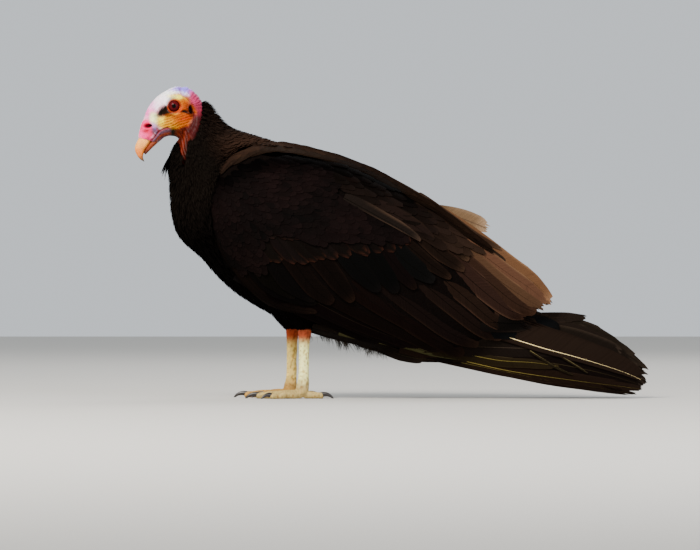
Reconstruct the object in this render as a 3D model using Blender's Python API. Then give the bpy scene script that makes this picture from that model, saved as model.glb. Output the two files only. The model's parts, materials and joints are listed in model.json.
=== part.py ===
"""A lesser yellow-headed vulture at life size, standing, its body divided where a person would name the parts.

Frame: +Z up, the bird faces -X, its left side is -Y. The origin is on the floor, in the middle of the
bird's length and width. Lengths in the tables are millimetres; MM turns them into Blender's metres.

Most parts are lofts. A station of a round loft is
    (top x, top z, bottom x, bottom z, half width)
and a station of a feathered blade is
    (top x, top z, top y, bottom x, bottom z, bottom y, bulge, thickness)
with y counted outwards from the bird's middle plane.
"""

import math

import bmesh
import bpy
from mathutils import Vector

MM = 0.001

# ---- driving dimensions, millimetres ----------------------------------------------------------------

GAP = 0.35                    # clearance between neighbouring solids

# Head: the skull is narrow, the face slopes steeply down to a hooked bill.
HEAD_STATIONS = (
    (-196.4, 302.0, -196.4, 284.0, 8.0),
    (-201.5, 311.3, -199.5, 270.5, 15.0),
    (-211.0, 318.0, -209.0, 267.0, 18.4),
    (-221.0, 320.7, -220.0, 268.5, 19.4),
    (-233.3, 316.0, -227.5, 270.0, 18.0),
    (-243.0, 309.3, -232.5, 269.5, 14.6),
    (-251.2, 299.0, -238.0, 265.8, 11.0),
    (-255.4, 289.0, -242.5, 262.0, 8.8),
    (-259.0, 280.5, -246.6, 258.5, 7.8),
    (-260.8, 272.5, -248.4, 256.8, 6.9),
    (-261.4, 268.0, -249.2, 256.0, 6.3),
)
UPPER_BILL_STATIONS = (
    (-260.9, 267.3, -247.6, 265.2, 5.9),
    (-264.0, 261.2, -250.4, 260.8, 5.7),
    (-264.8, 255.8, -254.0, 256.0, 4.7),
    (-263.0, 250.8, -256.0, 251.5, 3.4),
    (-259.8, 246.3, -256.5, 248.0, 2.0),
    (-254.6, 242.9, -255.2, 243.7, 0.6),
)
LOWER_BILL_STATIONS = (
    (-246.9, 265.0, -242.3, 261.8, 4.6),
    (-249.9, 260.6, -246.4, 258.1, 4.2),
    (-253.2, 255.9, -250.2, 254.3, 3.2),
    (-255.3, 252.3, -253.8, 250.7, 1.5),
)
EYE = (-224.0, 300.2)         # x, z of the eye's middle
EYE_RADIUS = 7.2
EYE_OUT = 12.4                # the ball's middle, outwards from the middle plane

# Neck and trunk are one long form, cut at NECK_END.
BODY_STATIONS = (
    (-198.5, 308.0, -219.0, 269.0, 15.5),
    (-189.0, 303.5, -226.5, 257.0, 23.5),
    (-178.0, 290.5, -231.0, 240.0, 31.0),
    (-163.0, 277.5, -229.5, 218.0, 41.0),
    (-138.0, 269.5, -227.5, 190.0, 54.0),
    (-106.0, 259.8, -219.0, 165.0, 61.0),
    (-72.0, 253.0, -197.0, 144.5, 65.0),
    (-38.0, 243.0, -166.0, 112.0, 71.0),
    (-4.0, 222.0, -125.0, 87.0, 68.0),
    (28.0, 200.0, -76.0, 67.0, 60.0),
    (58.0, 176.0, -24.0, 52.0, 50.0),
    (86.0, 146.0, 26.0, 43.0, 40.0),
    (106.0, 106.0, 72.0, 44.0, 26.0),
)
NECK_END = 3                  # the station where the trunk begins
BACK_TAPER = 0.25             # how much narrower the body is towards the spine

WING_STATIONS = (
    (-189.0, 216.0, 53.0, -190.0, 196.0, 55.0, 4.0, 5.0),
    (-176.0, 245.0, 41.0, -183.0, 160.0, 53.0, 23.0, 16.0),
    (-148.0, 261.0, 30.0, -166.0, 121.0, 51.0, 41.0, 27.0),
    (-100.0, 257.5, 17.0, -134.0, 93.0, 50.0, 54.0, 33.0),
    (-50.0, 248.5, 9.0, -84.0, 70.0, 47.0, 62.0, 34.0),
    (0.0, 225.5, 4.0, -34.0, 54.0, 43.0, 60.0, 31.0),
    (45.0, 200.5, 2.5, 16.0, 40.5, 39.0, 51.0, 24.0),
    (84.0, 170.5, 2.5, 60.0, 42.0, 36.0, 41.0, 17.0),
    (115.0, 151.0, 3.0, 99.0, 57.0, 34.0, 31.0, 12.0),
    (142.0, 129.0, 5.0, 127.0, 76.0, 33.0, 22.0, 8.0),
    (163.0, 101.0, 14.0, 158.0, 86.0, 30.0, 9.0, 3.0),
)
WINGTIP_STATIONS = (
    (62.0, 96.0, 26.0, 40.0, 38.0, 33.0, 4.0, 4.0),
    (96.0, 92.0, 16.0, 84.0, 34.0, 33.0, 11.0, 8.0),
    (140.0, 92.0, 6.0, 130.0, 24.0, 32.0, 18.0, 9.5),
    (180.0, 82.0, 3.0, 171.0, 14.5, 30.0, 19.0, 9.0),
    (213.0, 69.0, 2.5, 206.0, 8.0, 26.0, 15.0, 7.5),
    (239.0, 51.5, 2.5, 234.0, 3.0, 21.0, 10.0, 5.5),
    (257.0, 35.0, 3.5, 251.0, -0.5, 16.0, 6.0, 4.0),
    (265.2, 20.0, 6.0, 262.0, 2.0, 11.0, 3.0, 2.2),
)
# The tail is a flat fan under the wing tips: (x, z of its middle, half width, half thickness).
TAIL_STATIONS = (
    (70.0, 62.0, 13.0, 8.0),
    (100.0, 50.0, 22.0, 8.0),
    (140.0, 36.5, 27.0, 6.6),
    (180.0, 24.5, 28.0, 5.0),
    (215.0, 14.0, 25.0, 3.6),
    (240.0, 7.0, 18.0, 2.6),
    (252.0, 4.2, 9.0, 1.6),
)
TAIL_CROWN = 5.0              # how far the fan's middle stands over its edges
# One long shoulder feather of the right wing stands up: (x, z) of its edge, and its thickness.
RAISED_FEATHER = ((50.0, 194.0), (61.0, 194.5), (75.0, 189.5), (93.0, 182.5), (100.0, 176.5), (98.5, 168.0),
                  (93.0, 164.5), (84.0, 168.5), (66.0, 181.5))
RAISED_FEATHER_OUT = 5.0
RAISED_FEATHER_THICK = 1.6

# Legs: the right foot stands a little ahead of the left one.
LEG_OUT = 27.0
FOOT_X = {"left": -90.5, "right": -103.5}
HEEL_Z = 70.0
# (height, x from the foot, half thickness fore and aft, half width)
SHANK_RINGS = (
    (74.0, 0.5, 6.4, 6.0),
    (68.0, 0.8, 6.7, 6.2),
    (58.0, 0.3, 5.6, 5.2),
    (40.0, 0.0, 5.1, 4.7),
    (22.0, -0.3, 5.4, 5.2),
    (12.0, -1.5, 6.6, 6.4),
    (6.5, -2.5, 6.8, 6.6),
)
# (height, x from the foot, half thickness fore and aft, half width): the feathered thigh
THIGH_RINGS = (
    (128.0, -14.0, 27.0, 20.0),
    (110.0, -9.0, 25.0, 19.0),
    (94.0, -5.0, 21.0, 16.5),
    (82.0, -2.5, 15.5, 13.0),
    (73.0, -0.5, 9.6, 9.2),
    (69.0, 0.3, 7.6, 7.4),
)
# Toes: name, direction in degrees outwards from straight ahead, length, half width at the root and the end
TOES = (
    ("inner", -25.0, 35.0, 4.6, 3.3),
    ("middle", 2.0, 49.0, 4.9, 3.4),
    ("outer", 26.0, 39.0, 4.6, 3.2),
    ("hind", 174.0, 20.0, 4.2, 3.2),
)
TOE_SINK = 0.6                # how far a toe's round would reach under the floor before its flat is cut
CLAW_LENGTH = {"inner": 13.5, "middle": 14.0, "outer": 11.5, "hind": 13.0}
CLAW_ROOT = 2.5               # half thickness where the claw leaves the toe

# ---- materials --------------------------------------------------------------------------------------

FINISHES = {
    # name: (sRGB colour as hex, roughness)
    "bare_skin": ("E9A34B", 0.55),
    "horn": ("E9C79A", 0.42),
    "eye": ("4A0D10", 0.08),
    "body_feather": ("1D1614", 0.72),
    "wing_feather": ("2A1F1A", 0.68),
    "leg_scale": ("D8CBB4", 0.62),
    "claw": ("171412", 0.35),
}


def to_linear(hex_colour):
    """An sRGB hex colour as linear RGBA."""
    values = [int(hex_colour[i:i + 2], 16) / 255 for i in (0, 2, 4)]
    linear = [v / 12.92 if v <= 0.04045 else ((v + 0.055) / 1.055) ** 2.4 for v in values]
    return (*linear, 1.0)


def make_material(name):
    colour, roughness = FINISHES[name]
    material = bpy.data.materials.new(name)
    material.use_nodes = True
    shader = material.node_tree.nodes["Principled BSDF"]
    shader.inputs["Base Color"].default_value = to_linear(colour)
    shader.inputs["Roughness"].default_value = roughness
    shader.inputs["Metallic"].default_value = 0.0
    return material


# ---- scene ------------------------------------------------------------------------------------------

def start_clean():
    for ob in list(bpy.data.objects):
        bpy.data.objects.remove(ob, do_unlink=True)
    made = {}
    for name in ("vulture", "cutters"):
        made[name] = bpy.data.collections.new(name)
        bpy.context.scene.collection.children.link(made[name])
    return made["vulture"], made["cutters"]


PARTS, CUTTERS = start_clean()
MATERIALS = {name: make_material(name) for name in FINISHES}


def add_object(name, bm, finish, collection=None):
    """Puts a bmesh, its points in millimetres, into the scene as one object in metres."""
    bmesh.ops.recalc_face_normals(bm, faces=bm.faces)
    bmesh.ops.scale(bm, vec=(MM, MM, MM), verts=bm.verts)
    mesh = bpy.data.meshes.new(name)
    bm.to_mesh(mesh)
    bm.free()
    mesh.shade_smooth()
    mesh.set_sharp_from_angle(angle=math.radians(50))
    ob = bpy.data.objects.new(name, mesh)
    (collection or PARTS).objects.link(ob)
    if finish:
        mesh.materials.append(MATERIALS[finish])
    return ob


# ---- lofts ------------------------------------------------------------------------------------------

def smooth_stations(stations, count):
    """Reads `count` stations from a Catmull-Rom curve through the given ones."""
    made = []
    last = len(stations) - 1
    for i in range(count):
        t = i * last / (count - 1)
        k = min(int(t), last - 1)
        f = t - k
        p0, p1, p2, p3 = (stations[min(max(j, 0), last)] for j in (k - 1, k, k + 1, k + 2))
        made.append(tuple(
            0.5 * (2 * b + (c - a) * f + (2 * a - 5 * b + 4 * c - d) * f * f
                   + (3 * b - a - 3 * c + d) * f ** 3)
            for a, b, c, d in zip(p0, p1, p2, p3)))
    return made


def skin_rings(rings):
    """A closed bmesh through rings of equally many points, with a flat cap at each end."""
    bm = bmesh.new()
    loops = [[bm.verts.new(point) for point in ring] for ring in rings]
    for a, b in zip(loops, loops[1:]):
        for i in range(len(a)):
            j = (i + 1) % len(a)
            bm.faces.new((a[i], a[j], b[j], b[i]))
    bm.faces.new(reversed(loops[0]))
    bm.faces.new(loops[-1])
    bmesh.ops.triangulate(bm, faces=bm.faces)
    return bm


def round_ring(station, sides, power=2.0, taper=0.0):
    """One ring of a round loft: a superellipse across the line from its top to its bottom.

    A taper narrows its upper half towards the top, and widens its lower half by a quarter as much.
    """
    top_x, top_z, bottom_x, bottom_z, half_width = station
    ring = []
    for i in range(sides):
        angle = 2 * math.pi * i / sides
        up, side = math.cos(angle), math.sin(angle)
        up = math.copysign(abs(up) ** (2 / power), up)
        side = math.copysign(abs(side) ** (2 / power), side) * (1 - taper * max(up, up / 4))
        ring.append((
            (top_x + bottom_x) / 2 + (top_x - bottom_x) / 2 * up,
            half_width * side,
            (top_z + bottom_z) / 2 + (top_z - bottom_z) / 2 * up,
        ))
    return ring


def round_loft(name, stations, rings, sides, finish, power=2.0):
    made = smooth_stations(stations, rings)
    return add_object(name, skin_rings([round_ring(s, sides, power) for s in made]), finish)


def blade_ring(station, steps):
    """One ring of a feathered blade: a bulging outer side, and an inner side a thickness further in."""
    top_x, top_z, top_y, bottom_x, bottom_z, bottom_y, bulge, thick = station
    outer, inner = [], []
    for i in range(steps + 1):
        u = i / steps
        swell = math.sin(math.pi * u ** 0.86)
        x = top_x + (bottom_x - top_x) * u
        z = top_z + (bottom_z - top_z) * u
        y = top_y + (bottom_y - top_y) * u + bulge * swell ** 0.55
        outer.append((x, y, z))
        depth = 1.2 + (thick - 1.2) * swell ** 0.6
        inner.append((x, y - depth, z))
    return outer + inner[::-1]


def blade_loft(name, stations, rings, steps, side, finish):
    """A closed blade on one side of the bird; side is -1 for the left and 1 for the right."""
    made = smooth_stations(stations, rings)
    bm = skin_rings([[(x, side * y, z) for x, y, z in blade_ring(s, steps)] for s in made])
    return add_object(name, bm, finish)


# ---- fitting neighbours -----------------------------------------------------------------------------

def part_from(target, *neighbours):
    """Cuts the target back from each neighbour, with GAP left between them."""
    for neighbour in neighbours:
        bm = bmesh.new()
        bm.from_mesh(neighbour.data)
        bm.normal_update()
        for vert in bm.verts:
            vert.co += vert.normal * GAP * MM
        mesh = bpy.data.meshes.new(f"{neighbour.name}_cutter")
        bm.to_mesh(mesh)
        bm.free()
        cutter = bpy.data.objects.new(f"{neighbour.name}_cutter", mesh)
        CUTTERS.objects.link(cutter)
        hide_cutter(cutter)
        add_boolean(target, cutter, "DIFFERENCE")


def add_boolean(target, cutter, operation):
    step = target.modifiers.new(f"{operation.lower()} {cutter.name}", "BOOLEAN")
    step.operation = operation
    step.object = cutter
    step.solver = "EXACT"


def hide_cutter(ob):
    ob.hide_render = True
    ob.display_type = "WIRE"


def make_floor_cutter():
    """A block whose top is the floor: what reaches under it is cut to a flat."""
    bm = bmesh.new()
    bmesh.ops.create_cube(bm, size=1.0)
    bmesh.ops.scale(bm, vec=(900.0, 400.0, 40.0), verts=bm.verts)
    bmesh.ops.translate(bm, vec=(0.0, 0.0, -20.0), verts=bm.verts)
    block = add_object("floor_cutter", bm, None, CUTTERS)
    hide_cutter(block)
    return block


# ---- head -------------------------------------------------------------------------------------------

def make_head():
    head = round_loft("head", HEAD_STATIONS, 17, 18, "bare_skin", 2.15)
    upper = round_loft("bill_upper", UPPER_BILL_STATIONS, 11, 14, "horn", 2.3)
    lower = round_loft("bill_lower", LOWER_BILL_STATIONS, 7, 12, "horn", 2.2)
    part_from(lower, upper)
    eyes = []
    for name, side in (("eye_left", -1), ("eye_right", 1)):
        bm = bmesh.new()
        bmesh.ops.create_uvsphere(bm, u_segments=14, v_segments=8, radius=EYE_RADIUS)
        bmesh.ops.translate(bm, vec=(EYE[0], side * EYE_OUT, EYE[1]), verts=bm.verts)
        eyes.append(add_object(name, bm, "eye"))
    part_from(head, upper, lower, *eyes)
    return head


# ---- neck and trunk ---------------------------------------------------------------------------------

def make_neck_and_trunk(head):
    made = smooth_stations(BODY_STATIONS, 2 * len(BODY_STATIONS) - 1)
    cut = 2 * NECK_END
    gap = Vector((0.6, 0.0, -0.8)) * GAP
    neck_rings = [round_ring(s, 22, 2.0, BACK_TAPER) for s in made[:cut + 1]]
    trunk_rings = [round_ring(s, 22, 2.0, BACK_TAPER) for s in made[cut:]]
    first = [tuple(Vector(p) + gap) for p in trunk_rings[0]]
    neck = add_object("neck", skin_rings(neck_rings), "body_feather")
    trunk = add_object("trunk", skin_rings([first] + trunk_rings[1:]), "body_feather")
    part_from(neck, head)
    return neck, trunk


# ---- wings and tail ---------------------------------------------------------------------------------

def make_wing(name, side, floor):
    wing = blade_loft(f"wing_{name}", WING_STATIONS, 15, 8, side, "wing_feather")
    made = smooth_stations(WINGTIP_STATIONS, 12)
    bm = skin_rings([[(x, side * y, z) for x, y, z in blade_ring(s, 6)] for s in made])
    tip = add_object(f"wingtip_{name}", bm, "wing_feather")
    add_boolean(tip, floor, "DIFFERENCE")
    part_from(tip, wing)
    return wing, tip


def make_raised_feather(wing):
    """The one feather that stands up from the right shoulder, a flat outline with a thickness."""
    bm = bmesh.new()
    faces = {}
    for out in (RAISED_FEATHER_OUT, RAISED_FEATHER_OUT + RAISED_FEATHER_THICK):
        faces[out] = bm.faces.new([bm.verts.new((x, out, z)) for x, z in RAISED_FEATHER])
    near, far = (list(face.verts) for face in faces.values())
    for i in range(len(near)):
        j = (i + 1) % len(near)
        bm.faces.new((near[i], near[j], far[j], far[i]))
    bmesh.ops.triangulate(bm, faces=bm.faces)
    feather = add_object("shoulder_feather_right", bm, "wing_feather")
    part_from(feather, wing)
    return feather


def make_tail(wingtips, wings):
    """The folded fan: a thin lens across, its middle higher than its edges."""
    rings = []
    for x, z, half_width, half_thick in smooth_stations(TAIL_STATIONS, 11):
        ring = []
        for i in range(16):
            angle = 2 * math.pi * i / 16
            across = math.sin(angle)
            crown = TAIL_CROWN * (half_width / 30) * (1 - across * across)
            ring.append((x, half_width * across, z + half_thick * math.cos(angle) + crown))
        rings.append(ring)
    tail = add_object("tail", skin_rings(rings), "wing_feather")
    part_from(tail, *wingtips, *wings)
    return tail


# ---- legs -------------------------------------------------------------------------------------------

def upright_rings(rings, count, sides, x, y):
    made = []
    for height, ahead, half_thick, half_width in smooth_stations(rings, count):
        made.append([
            (x + ahead + half_thick * math.cos(2 * math.pi * i / sides),
             y + half_width * math.sin(2 * math.pi * i / sides), height)
            for i in range(sides)])
    return made


def toe_path(toe, share):
    """The middle of a toe at a share of its length, from the foot's middle: ahead, outwards, height."""
    name, turn, length, root, end = toe
    reach = length * share - 2.0 * (1.0 - share)
    half = root + (end - root) * share
    arch = 2.4 * math.sin(math.pi * min(share * 1.15, 1.0)) if name != "hind" else 1.2
    sag = half - TOE_SINK if share > 0.12 else half + 1.5
    angle = math.radians(turn)
    return Vector((-reach * math.cos(angle), reach * math.sin(angle), sag + 0.25 * arch)), half


def make_toe(toe, x, y, side):
    """One toe: a row of soft pads, flat where it meets the floor."""
    angle = math.radians(toe[1])
    across = Vector((math.sin(angle), math.cos(angle), 0.0))
    rings = []
    count = 7
    for k in range(count):
        share = k / (count - 1)
        middle, half = toe_path(toe, share)
        pad = 1.0 + 0.07 * math.cos(2 * math.pi * share * 3)
        if k == count - 1:
            pad *= 0.55
        ring = []
        for i in range(8):
            turn = 2 * math.pi * i / 8
            point = middle + across * half * pad * math.sin(turn)
            point.z += half * pad * math.cos(turn)
            ring.append((x + point.x, y + side * point.y, point.z))
        rings.append(ring)
    return skin_rings(rings)


def make_claw(name, toe, x, y, side):
    """A curved claw out of the toe's end, its point a little over the floor."""
    angle = math.radians(toe[1])
    ahead = Vector((-math.cos(angle), math.sin(angle), 0.0))
    across = Vector((math.sin(angle), math.cos(angle), 0.0))
    root, _half = toe_path(toe, 1.0)
    root = root - ahead * 2.5 + Vector((0.0, 0.0, 0.9))
    length = CLAW_LENGTH[toe[0]] + 2.5
    rings = []
    count = 6
    for k in range(count):
        share = k / (count - 1)
        bend = math.radians(-24.0 + 84.0 * share)
        if k:
            step = length / (count - 1)
            root = root + (ahead * math.cos(bend) - Vector((0.0, 0.0, 1.0)) * math.sin(bend)) * step
        half = CLAW_ROOT * (1.0 - share) ** 0.7 + 0.28
        up = ahead * math.sin(bend) + Vector((0.0, 0.0, 1.0)) * math.cos(bend)
        ring = []
        for i in range(6):
            turn = 2 * math.pi * i / 6
            point = root + across * half * 0.8 * math.sin(turn) + up * half * math.cos(turn)
            ring.append((x + point.x, y + side * point.y, max(point.z, 0.25)))
        rings.append(ring)
    return add_object(name, skin_rings(rings), "claw")


def make_leg(name, side, trunk, wing, floor):
    x, y = FOOT_X[name], side * LEG_OUT
    thigh = add_object(f"thigh_{name}", skin_rings(upright_rings(THIGH_RINGS, 10, 14, x, y)), "body_feather")
    shank = add_object(f"shank_{name}", skin_rings(upright_rings(SHANK_RINGS, 11, 10, x, y)), "leg_scale")
    part_from(thigh, trunk, wing, shank)
    claws = [make_claw(f"claw_{name}_{toe[0]}", toe, x, y, side) for toe in TOES]
    toes = [add_object(f"foot_{name}" if k == 0 else f"toe_{name}_{toe[0]}",
                       make_toe(toe, x, y, side), "leg_scale", None if k == 0 else CUTTERS)
            for k, toe in enumerate(TOES)]
    foot = toes[0]
    for toe in toes[1:]:
        hide_cutter(toe)
        add_boolean(foot, toe, "UNION")
    add_boolean(foot, floor, "DIFFERENCE")
    part_from(foot, shank, *claws)
    return thigh


# ---- the bird ---------------------------------------------------------------------------------------

def make_vulture():
    floor = make_floor_cutter()
    head = make_head()
    neck, trunk = make_neck_and_trunk(head)
    left_wing, left_tip = make_wing("left", -1, floor)
    right_wing, right_tip = make_wing("right", 1, floor)
    make_raised_feather(right_wing)
    tail = make_tail((left_tip, right_tip), (left_wing, right_wing))
    part_from(neck, left_wing, right_wing)
    part_from(trunk, left_wing, right_wing, left_tip, right_tip, tail)
    make_leg("left", -1, trunk, left_wing, floor)
    make_leg("right", 1, trunk, right_wing, floor)


make_vulture()
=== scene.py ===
# %% [markdown]
# # A lesser yellow-headed vulture, life size
#
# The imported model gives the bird's true outline as plain closed solids. This script is about looks: one
# continuous skin with its folds, scales and colours, and over it several thousand feathers, each a thin
# mesh that starts in the skin and lies along the body. Everything is in metres in the model's own frame:
# the bird faces -X, its left side is -Y and +Z is up.

# %% Load the fixed frame
import json
import math

import bmesh
import bpy
import numpy as np
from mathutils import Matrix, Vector
from mathutils.bvhtree import BVHTree

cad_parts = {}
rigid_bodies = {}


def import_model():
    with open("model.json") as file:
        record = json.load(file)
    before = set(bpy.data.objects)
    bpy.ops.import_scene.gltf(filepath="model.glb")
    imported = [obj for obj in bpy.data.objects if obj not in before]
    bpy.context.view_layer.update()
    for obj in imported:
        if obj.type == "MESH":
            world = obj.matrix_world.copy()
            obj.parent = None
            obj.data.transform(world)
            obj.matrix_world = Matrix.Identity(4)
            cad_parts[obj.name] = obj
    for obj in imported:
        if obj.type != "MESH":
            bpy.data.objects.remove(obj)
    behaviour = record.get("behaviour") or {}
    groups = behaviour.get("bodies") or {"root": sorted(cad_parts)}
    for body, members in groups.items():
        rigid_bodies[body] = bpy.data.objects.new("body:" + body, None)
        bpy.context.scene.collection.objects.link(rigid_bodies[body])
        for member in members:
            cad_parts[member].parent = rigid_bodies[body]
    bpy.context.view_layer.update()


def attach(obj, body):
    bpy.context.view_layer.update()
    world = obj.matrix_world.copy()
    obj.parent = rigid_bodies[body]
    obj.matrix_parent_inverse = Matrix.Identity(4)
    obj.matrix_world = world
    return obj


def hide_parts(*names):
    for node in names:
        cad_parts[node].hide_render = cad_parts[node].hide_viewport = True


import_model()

MM = 0.001
SIDES = {"left": -1.0, "right": 1.0}
chance = np.random.default_rng(53)

# %% [markdown]
# ## Colours
#
# Artists pick colours as sRGB hex values, but a renderer adds and multiplies light, so it needs linear
# values. One function does the change for every colour in the script, and another mixes two of them.

# %% One way from hex to linear light
def to_linear(hex_colour):
    values = np.array([int(hex_colour[i:i + 2], 16) / 255 for i in (0, 2, 4)])
    return np.where(values <= 0.04045, values / 12.92, ((values + 0.055) / 1.055) ** 2.4)


def rgba(hex_colour):
    return (*to_linear(hex_colour), 1.0)


def mixed(first, second, share):
    """The first colour where the share is 0, the second where it is 1; either can be a hex value."""
    first, second = (to_linear(c) if isinstance(c, str) else c for c in (first, second))
    return first * (1 - share) + second * share


print("mid grey as linear light:", to_linear("808080").round(3))

# %% [markdown]
# ## Curves through a few stations
#
# A body like this has no straight stretch, yet a handful of cross-sections describes it: how high, how
# low and how wide it is at each station. A Catmull-Rom curve passes through every station and is smooth
# between them, so the same short table gives a coarse solid or a skin with half-millimetre faces.

# %% Read a table of stations at any share of its length
def along(stations, share):
    """Rows of the table at shares from 0 to 1, one row for each share."""
    table = np.asarray(stations, float)
    share = np.atleast_1d(np.asarray(share, float))
    last = len(table) - 1
    place = np.clip(share, 0, 1) * last
    k = np.minimum(place.astype(int), last - 1)
    f = (place - k)[:, None]
    p0, p1 = table[np.maximum(k - 1, 0)], table[k]
    p2, p3 = table[k + 1], table[np.minimum(k + 2, last)]
    return 0.5 * (2 * p1 + (p2 - p0) * f + (2 * p0 - 5 * p1 + 4 * p2 - p3) * f ** 2
                  + (3 * p1 - p0 - 3 * p2 + p3) * f ** 3)


def smooth_step(low, high, value):
    share = np.clip((value - low) / (high - low), 0, 1)
    return share * share * (3 - 2 * share)


# %% The bird's stations, in millimetres, as its solids have them
# Round forms: top x, top z, bottom x, bottom z, half width.
UPPER_BILL_STATIONS = (
    (-260.9, 267.3, -247.6, 265.2, 5.9),
    (-264.0, 261.2, -250.4, 260.8, 5.7),
    (-264.8, 255.8, -254.0, 256.0, 4.7),
    (-263.0, 250.8, -256.0, 251.5, 3.4),
    (-259.8, 246.3, -256.5, 248.0, 2.0),
    (-254.6, 242.9, -255.2, 243.7, 0.6),
)
LOWER_BILL_STATIONS = (
    (-246.9, 265.0, -242.3, 261.8, 4.6),
    (-249.9, 260.6, -246.4, 258.1, 4.2),
    (-253.2, 255.9, -250.2, 254.3, 3.2),
    (-255.3, 252.3, -253.8, 250.7, 1.5),
)
BODY_STATIONS = (
    (-198.5, 308.0, -219.0, 269.0, 15.5),
    (-189.0, 303.5, -226.5, 257.0, 23.5),
    (-178.0, 290.5, -231.0, 240.0, 31.0),
    (-163.0, 277.5, -229.5, 218.0, 41.0),
    (-138.0, 269.5, -227.5, 190.0, 54.0),
    (-106.0, 259.8, -219.0, 165.0, 61.0),
    (-72.0, 253.0, -197.0, 144.5, 65.0),
    (-38.0, 243.0, -166.0, 112.0, 71.0),
    (-4.0, 222.0, -125.0, 87.0, 68.0),
    (28.0, 200.0, -76.0, 67.0, 60.0),
    (58.0, 176.0, -24.0, 52.0, 50.0),
    (86.0, 146.0, 26.0, 43.0, 40.0),
    (106.0, 106.0, 72.0, 44.0, 26.0),
)
BACK_TAPER = 0.25            # how much narrower the body is at its back than at its belly
# Blades of closed wings: top x, z, y, bottom x, z, y, bulge, thickness; y is counted outwards.
WING_STATIONS = (
    (-189.0, 216.0, 53.0, -190.0, 196.0, 55.0, 4.0, 5.0),
    (-176.0, 245.0, 41.0, -183.0, 160.0, 53.0, 23.0, 16.0),
    (-148.0, 261.0, 30.0, -166.0, 121.0, 51.0, 41.0, 27.0),
    (-100.0, 257.5, 17.0, -134.0, 93.0, 50.0, 54.0, 33.0),
    (-50.0, 248.5, 9.0, -84.0, 70.0, 47.0, 62.0, 34.0),
    (0.0, 225.5, 4.0, -34.0, 54.0, 43.0, 60.0, 31.0),
    (45.0, 200.5, 2.5, 16.0, 40.5, 39.0, 51.0, 24.0),
    (84.0, 170.5, 2.5, 60.0, 42.0, 36.0, 41.0, 17.0),
    (115.0, 151.0, 3.0, 99.0, 57.0, 34.0, 31.0, 12.0),
    (142.0, 129.0, 5.0, 127.0, 76.0, 33.0, 22.0, 8.0),
    (163.0, 101.0, 14.0, 158.0, 86.0, 30.0, 9.0, 3.0),
)
WINGTIP_STATIONS = (
    (62.0, 96.0, 26.0, 40.0, 38.0, 33.0, 4.0, 4.0),
    (96.0, 92.0, 16.0, 84.0, 34.0, 33.0, 11.0, 8.0),
    (140.0, 92.0, 6.0, 130.0, 24.0, 32.0, 18.0, 9.5),
    (180.0, 82.0, 3.0, 171.0, 14.5, 30.0, 19.0, 9.0),
    (213.0, 69.0, 2.5, 206.0, 8.0, 26.0, 15.0, 7.5),
    (239.0, 51.5, 2.5, 234.0, 3.0, 21.0, 10.0, 5.5),
    (257.0, 35.0, 3.5, 251.0, -0.5, 16.0, 6.0, 4.0),
    (265.2, 20.0, 6.0, 262.0, 2.0, 11.0, 3.0, 2.2),
)
EYE_PLACE = (-224.0, 12.4, 300.2)      # the ball's middle: x, outwards, z
EYE_RADIUS = 7.2
FOOT_X = {"left": -90.5, "right": -103.5}
LEG_OUT = 27.0
print("stations of the body:", len(BODY_STATIONS), "of a wing:", len(WING_STATIONS))

# %% [markdown]
# ## Surfaces that can be asked for a point
#
# Skin and feathers need the same thing from a form: the point at some place on it. Each form is therefore
# a function of two numbers, read from its stations.

# %% Round forms and wing blades as functions
def round_form(stations, share, angle, power=2.0, taper=0.0):
    """Points round a superellipse; the angle is 0 on top and grows towards the bird's right.

    Stations of eight numbers give their own power, taper and inset as the last three.
    """
    top_x, top_z, low_x, low_z, half, *own = along(stations, share).T
    power, taper, inset = own or (power, taper, 0.0)
    up, side = np.cos(angle), np.sin(angle)
    up = np.sign(up) * np.abs(up) ** (2 / power)
    side = np.sign(side) * np.abs(side) ** (2 / power) * (1 - taper * np.maximum(up, up / 4))
    shrink = 1 - inset / (np.hypot(top_x - low_x, top_z - low_z) / 2)
    return np.stack([
        (top_x + low_x) / 2 + (top_x - low_x) / 2 * up * shrink,
        np.maximum(half - inset, 0.3) * side,
        (top_z + low_z) / 2 + (top_z - low_z) / 2 * up * shrink], 1)


def blade_form(stations, side, share, across, depth=0.0):
    """Points on a closed wing's outer face: across runs from 0 at its upper edge to 1 at its lower one.

    A depth of 1 gives its inner face.
    """
    top_x, top_z, top_y, low_x, low_z, low_y, bulge, thick = along(stations, share).T
    swell = np.sin(np.pi * np.clip(across, 0, 1) ** 0.86)
    y = top_y + (low_y - top_y) * across + bulge * np.abs(swell) ** 0.55
    y = y - depth * (1.2 + (thick - 1.2) * np.abs(swell) ** 0.6)
    return np.stack([top_x + (low_x - top_x) * across, side * y, top_z + (low_z - top_z) * across], 1)


def body_form(share, angle):
    return round_form(BODY_STATIONS, share, angle, taper=BACK_TAPER)


def unit(vectors):
    return vectors / np.maximum(np.linalg.norm(vectors, axis=-1, keepdims=True), 1e-9)


def evenly_round(rings, sides):
    """Share of the length and angle round it for every point of a tube, ring after ring."""
    turns = np.linspace(0, 2 * np.pi, sides, endpoint=False)
    return np.repeat(np.linspace(0, 1, rings), sides), np.tile(turns, rings)


print("middle of the back:", body_form(np.array([0.5]), np.array([0.0])).round(1))

# %% [markdown]
# ## One skin from the bill to the toes
#
# A real bird has a single skin, so one mesh stands for the head, neck, body, wings' flesh and legs. The
# long part is one loft: half-millimetre rings on the bare head, where every fold shows, and wide rings
# where feathers hide it. Its stations add a coat depth, zero on the head and growing down the neck, so
# the skin lies under the feathers by their thickness.

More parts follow.
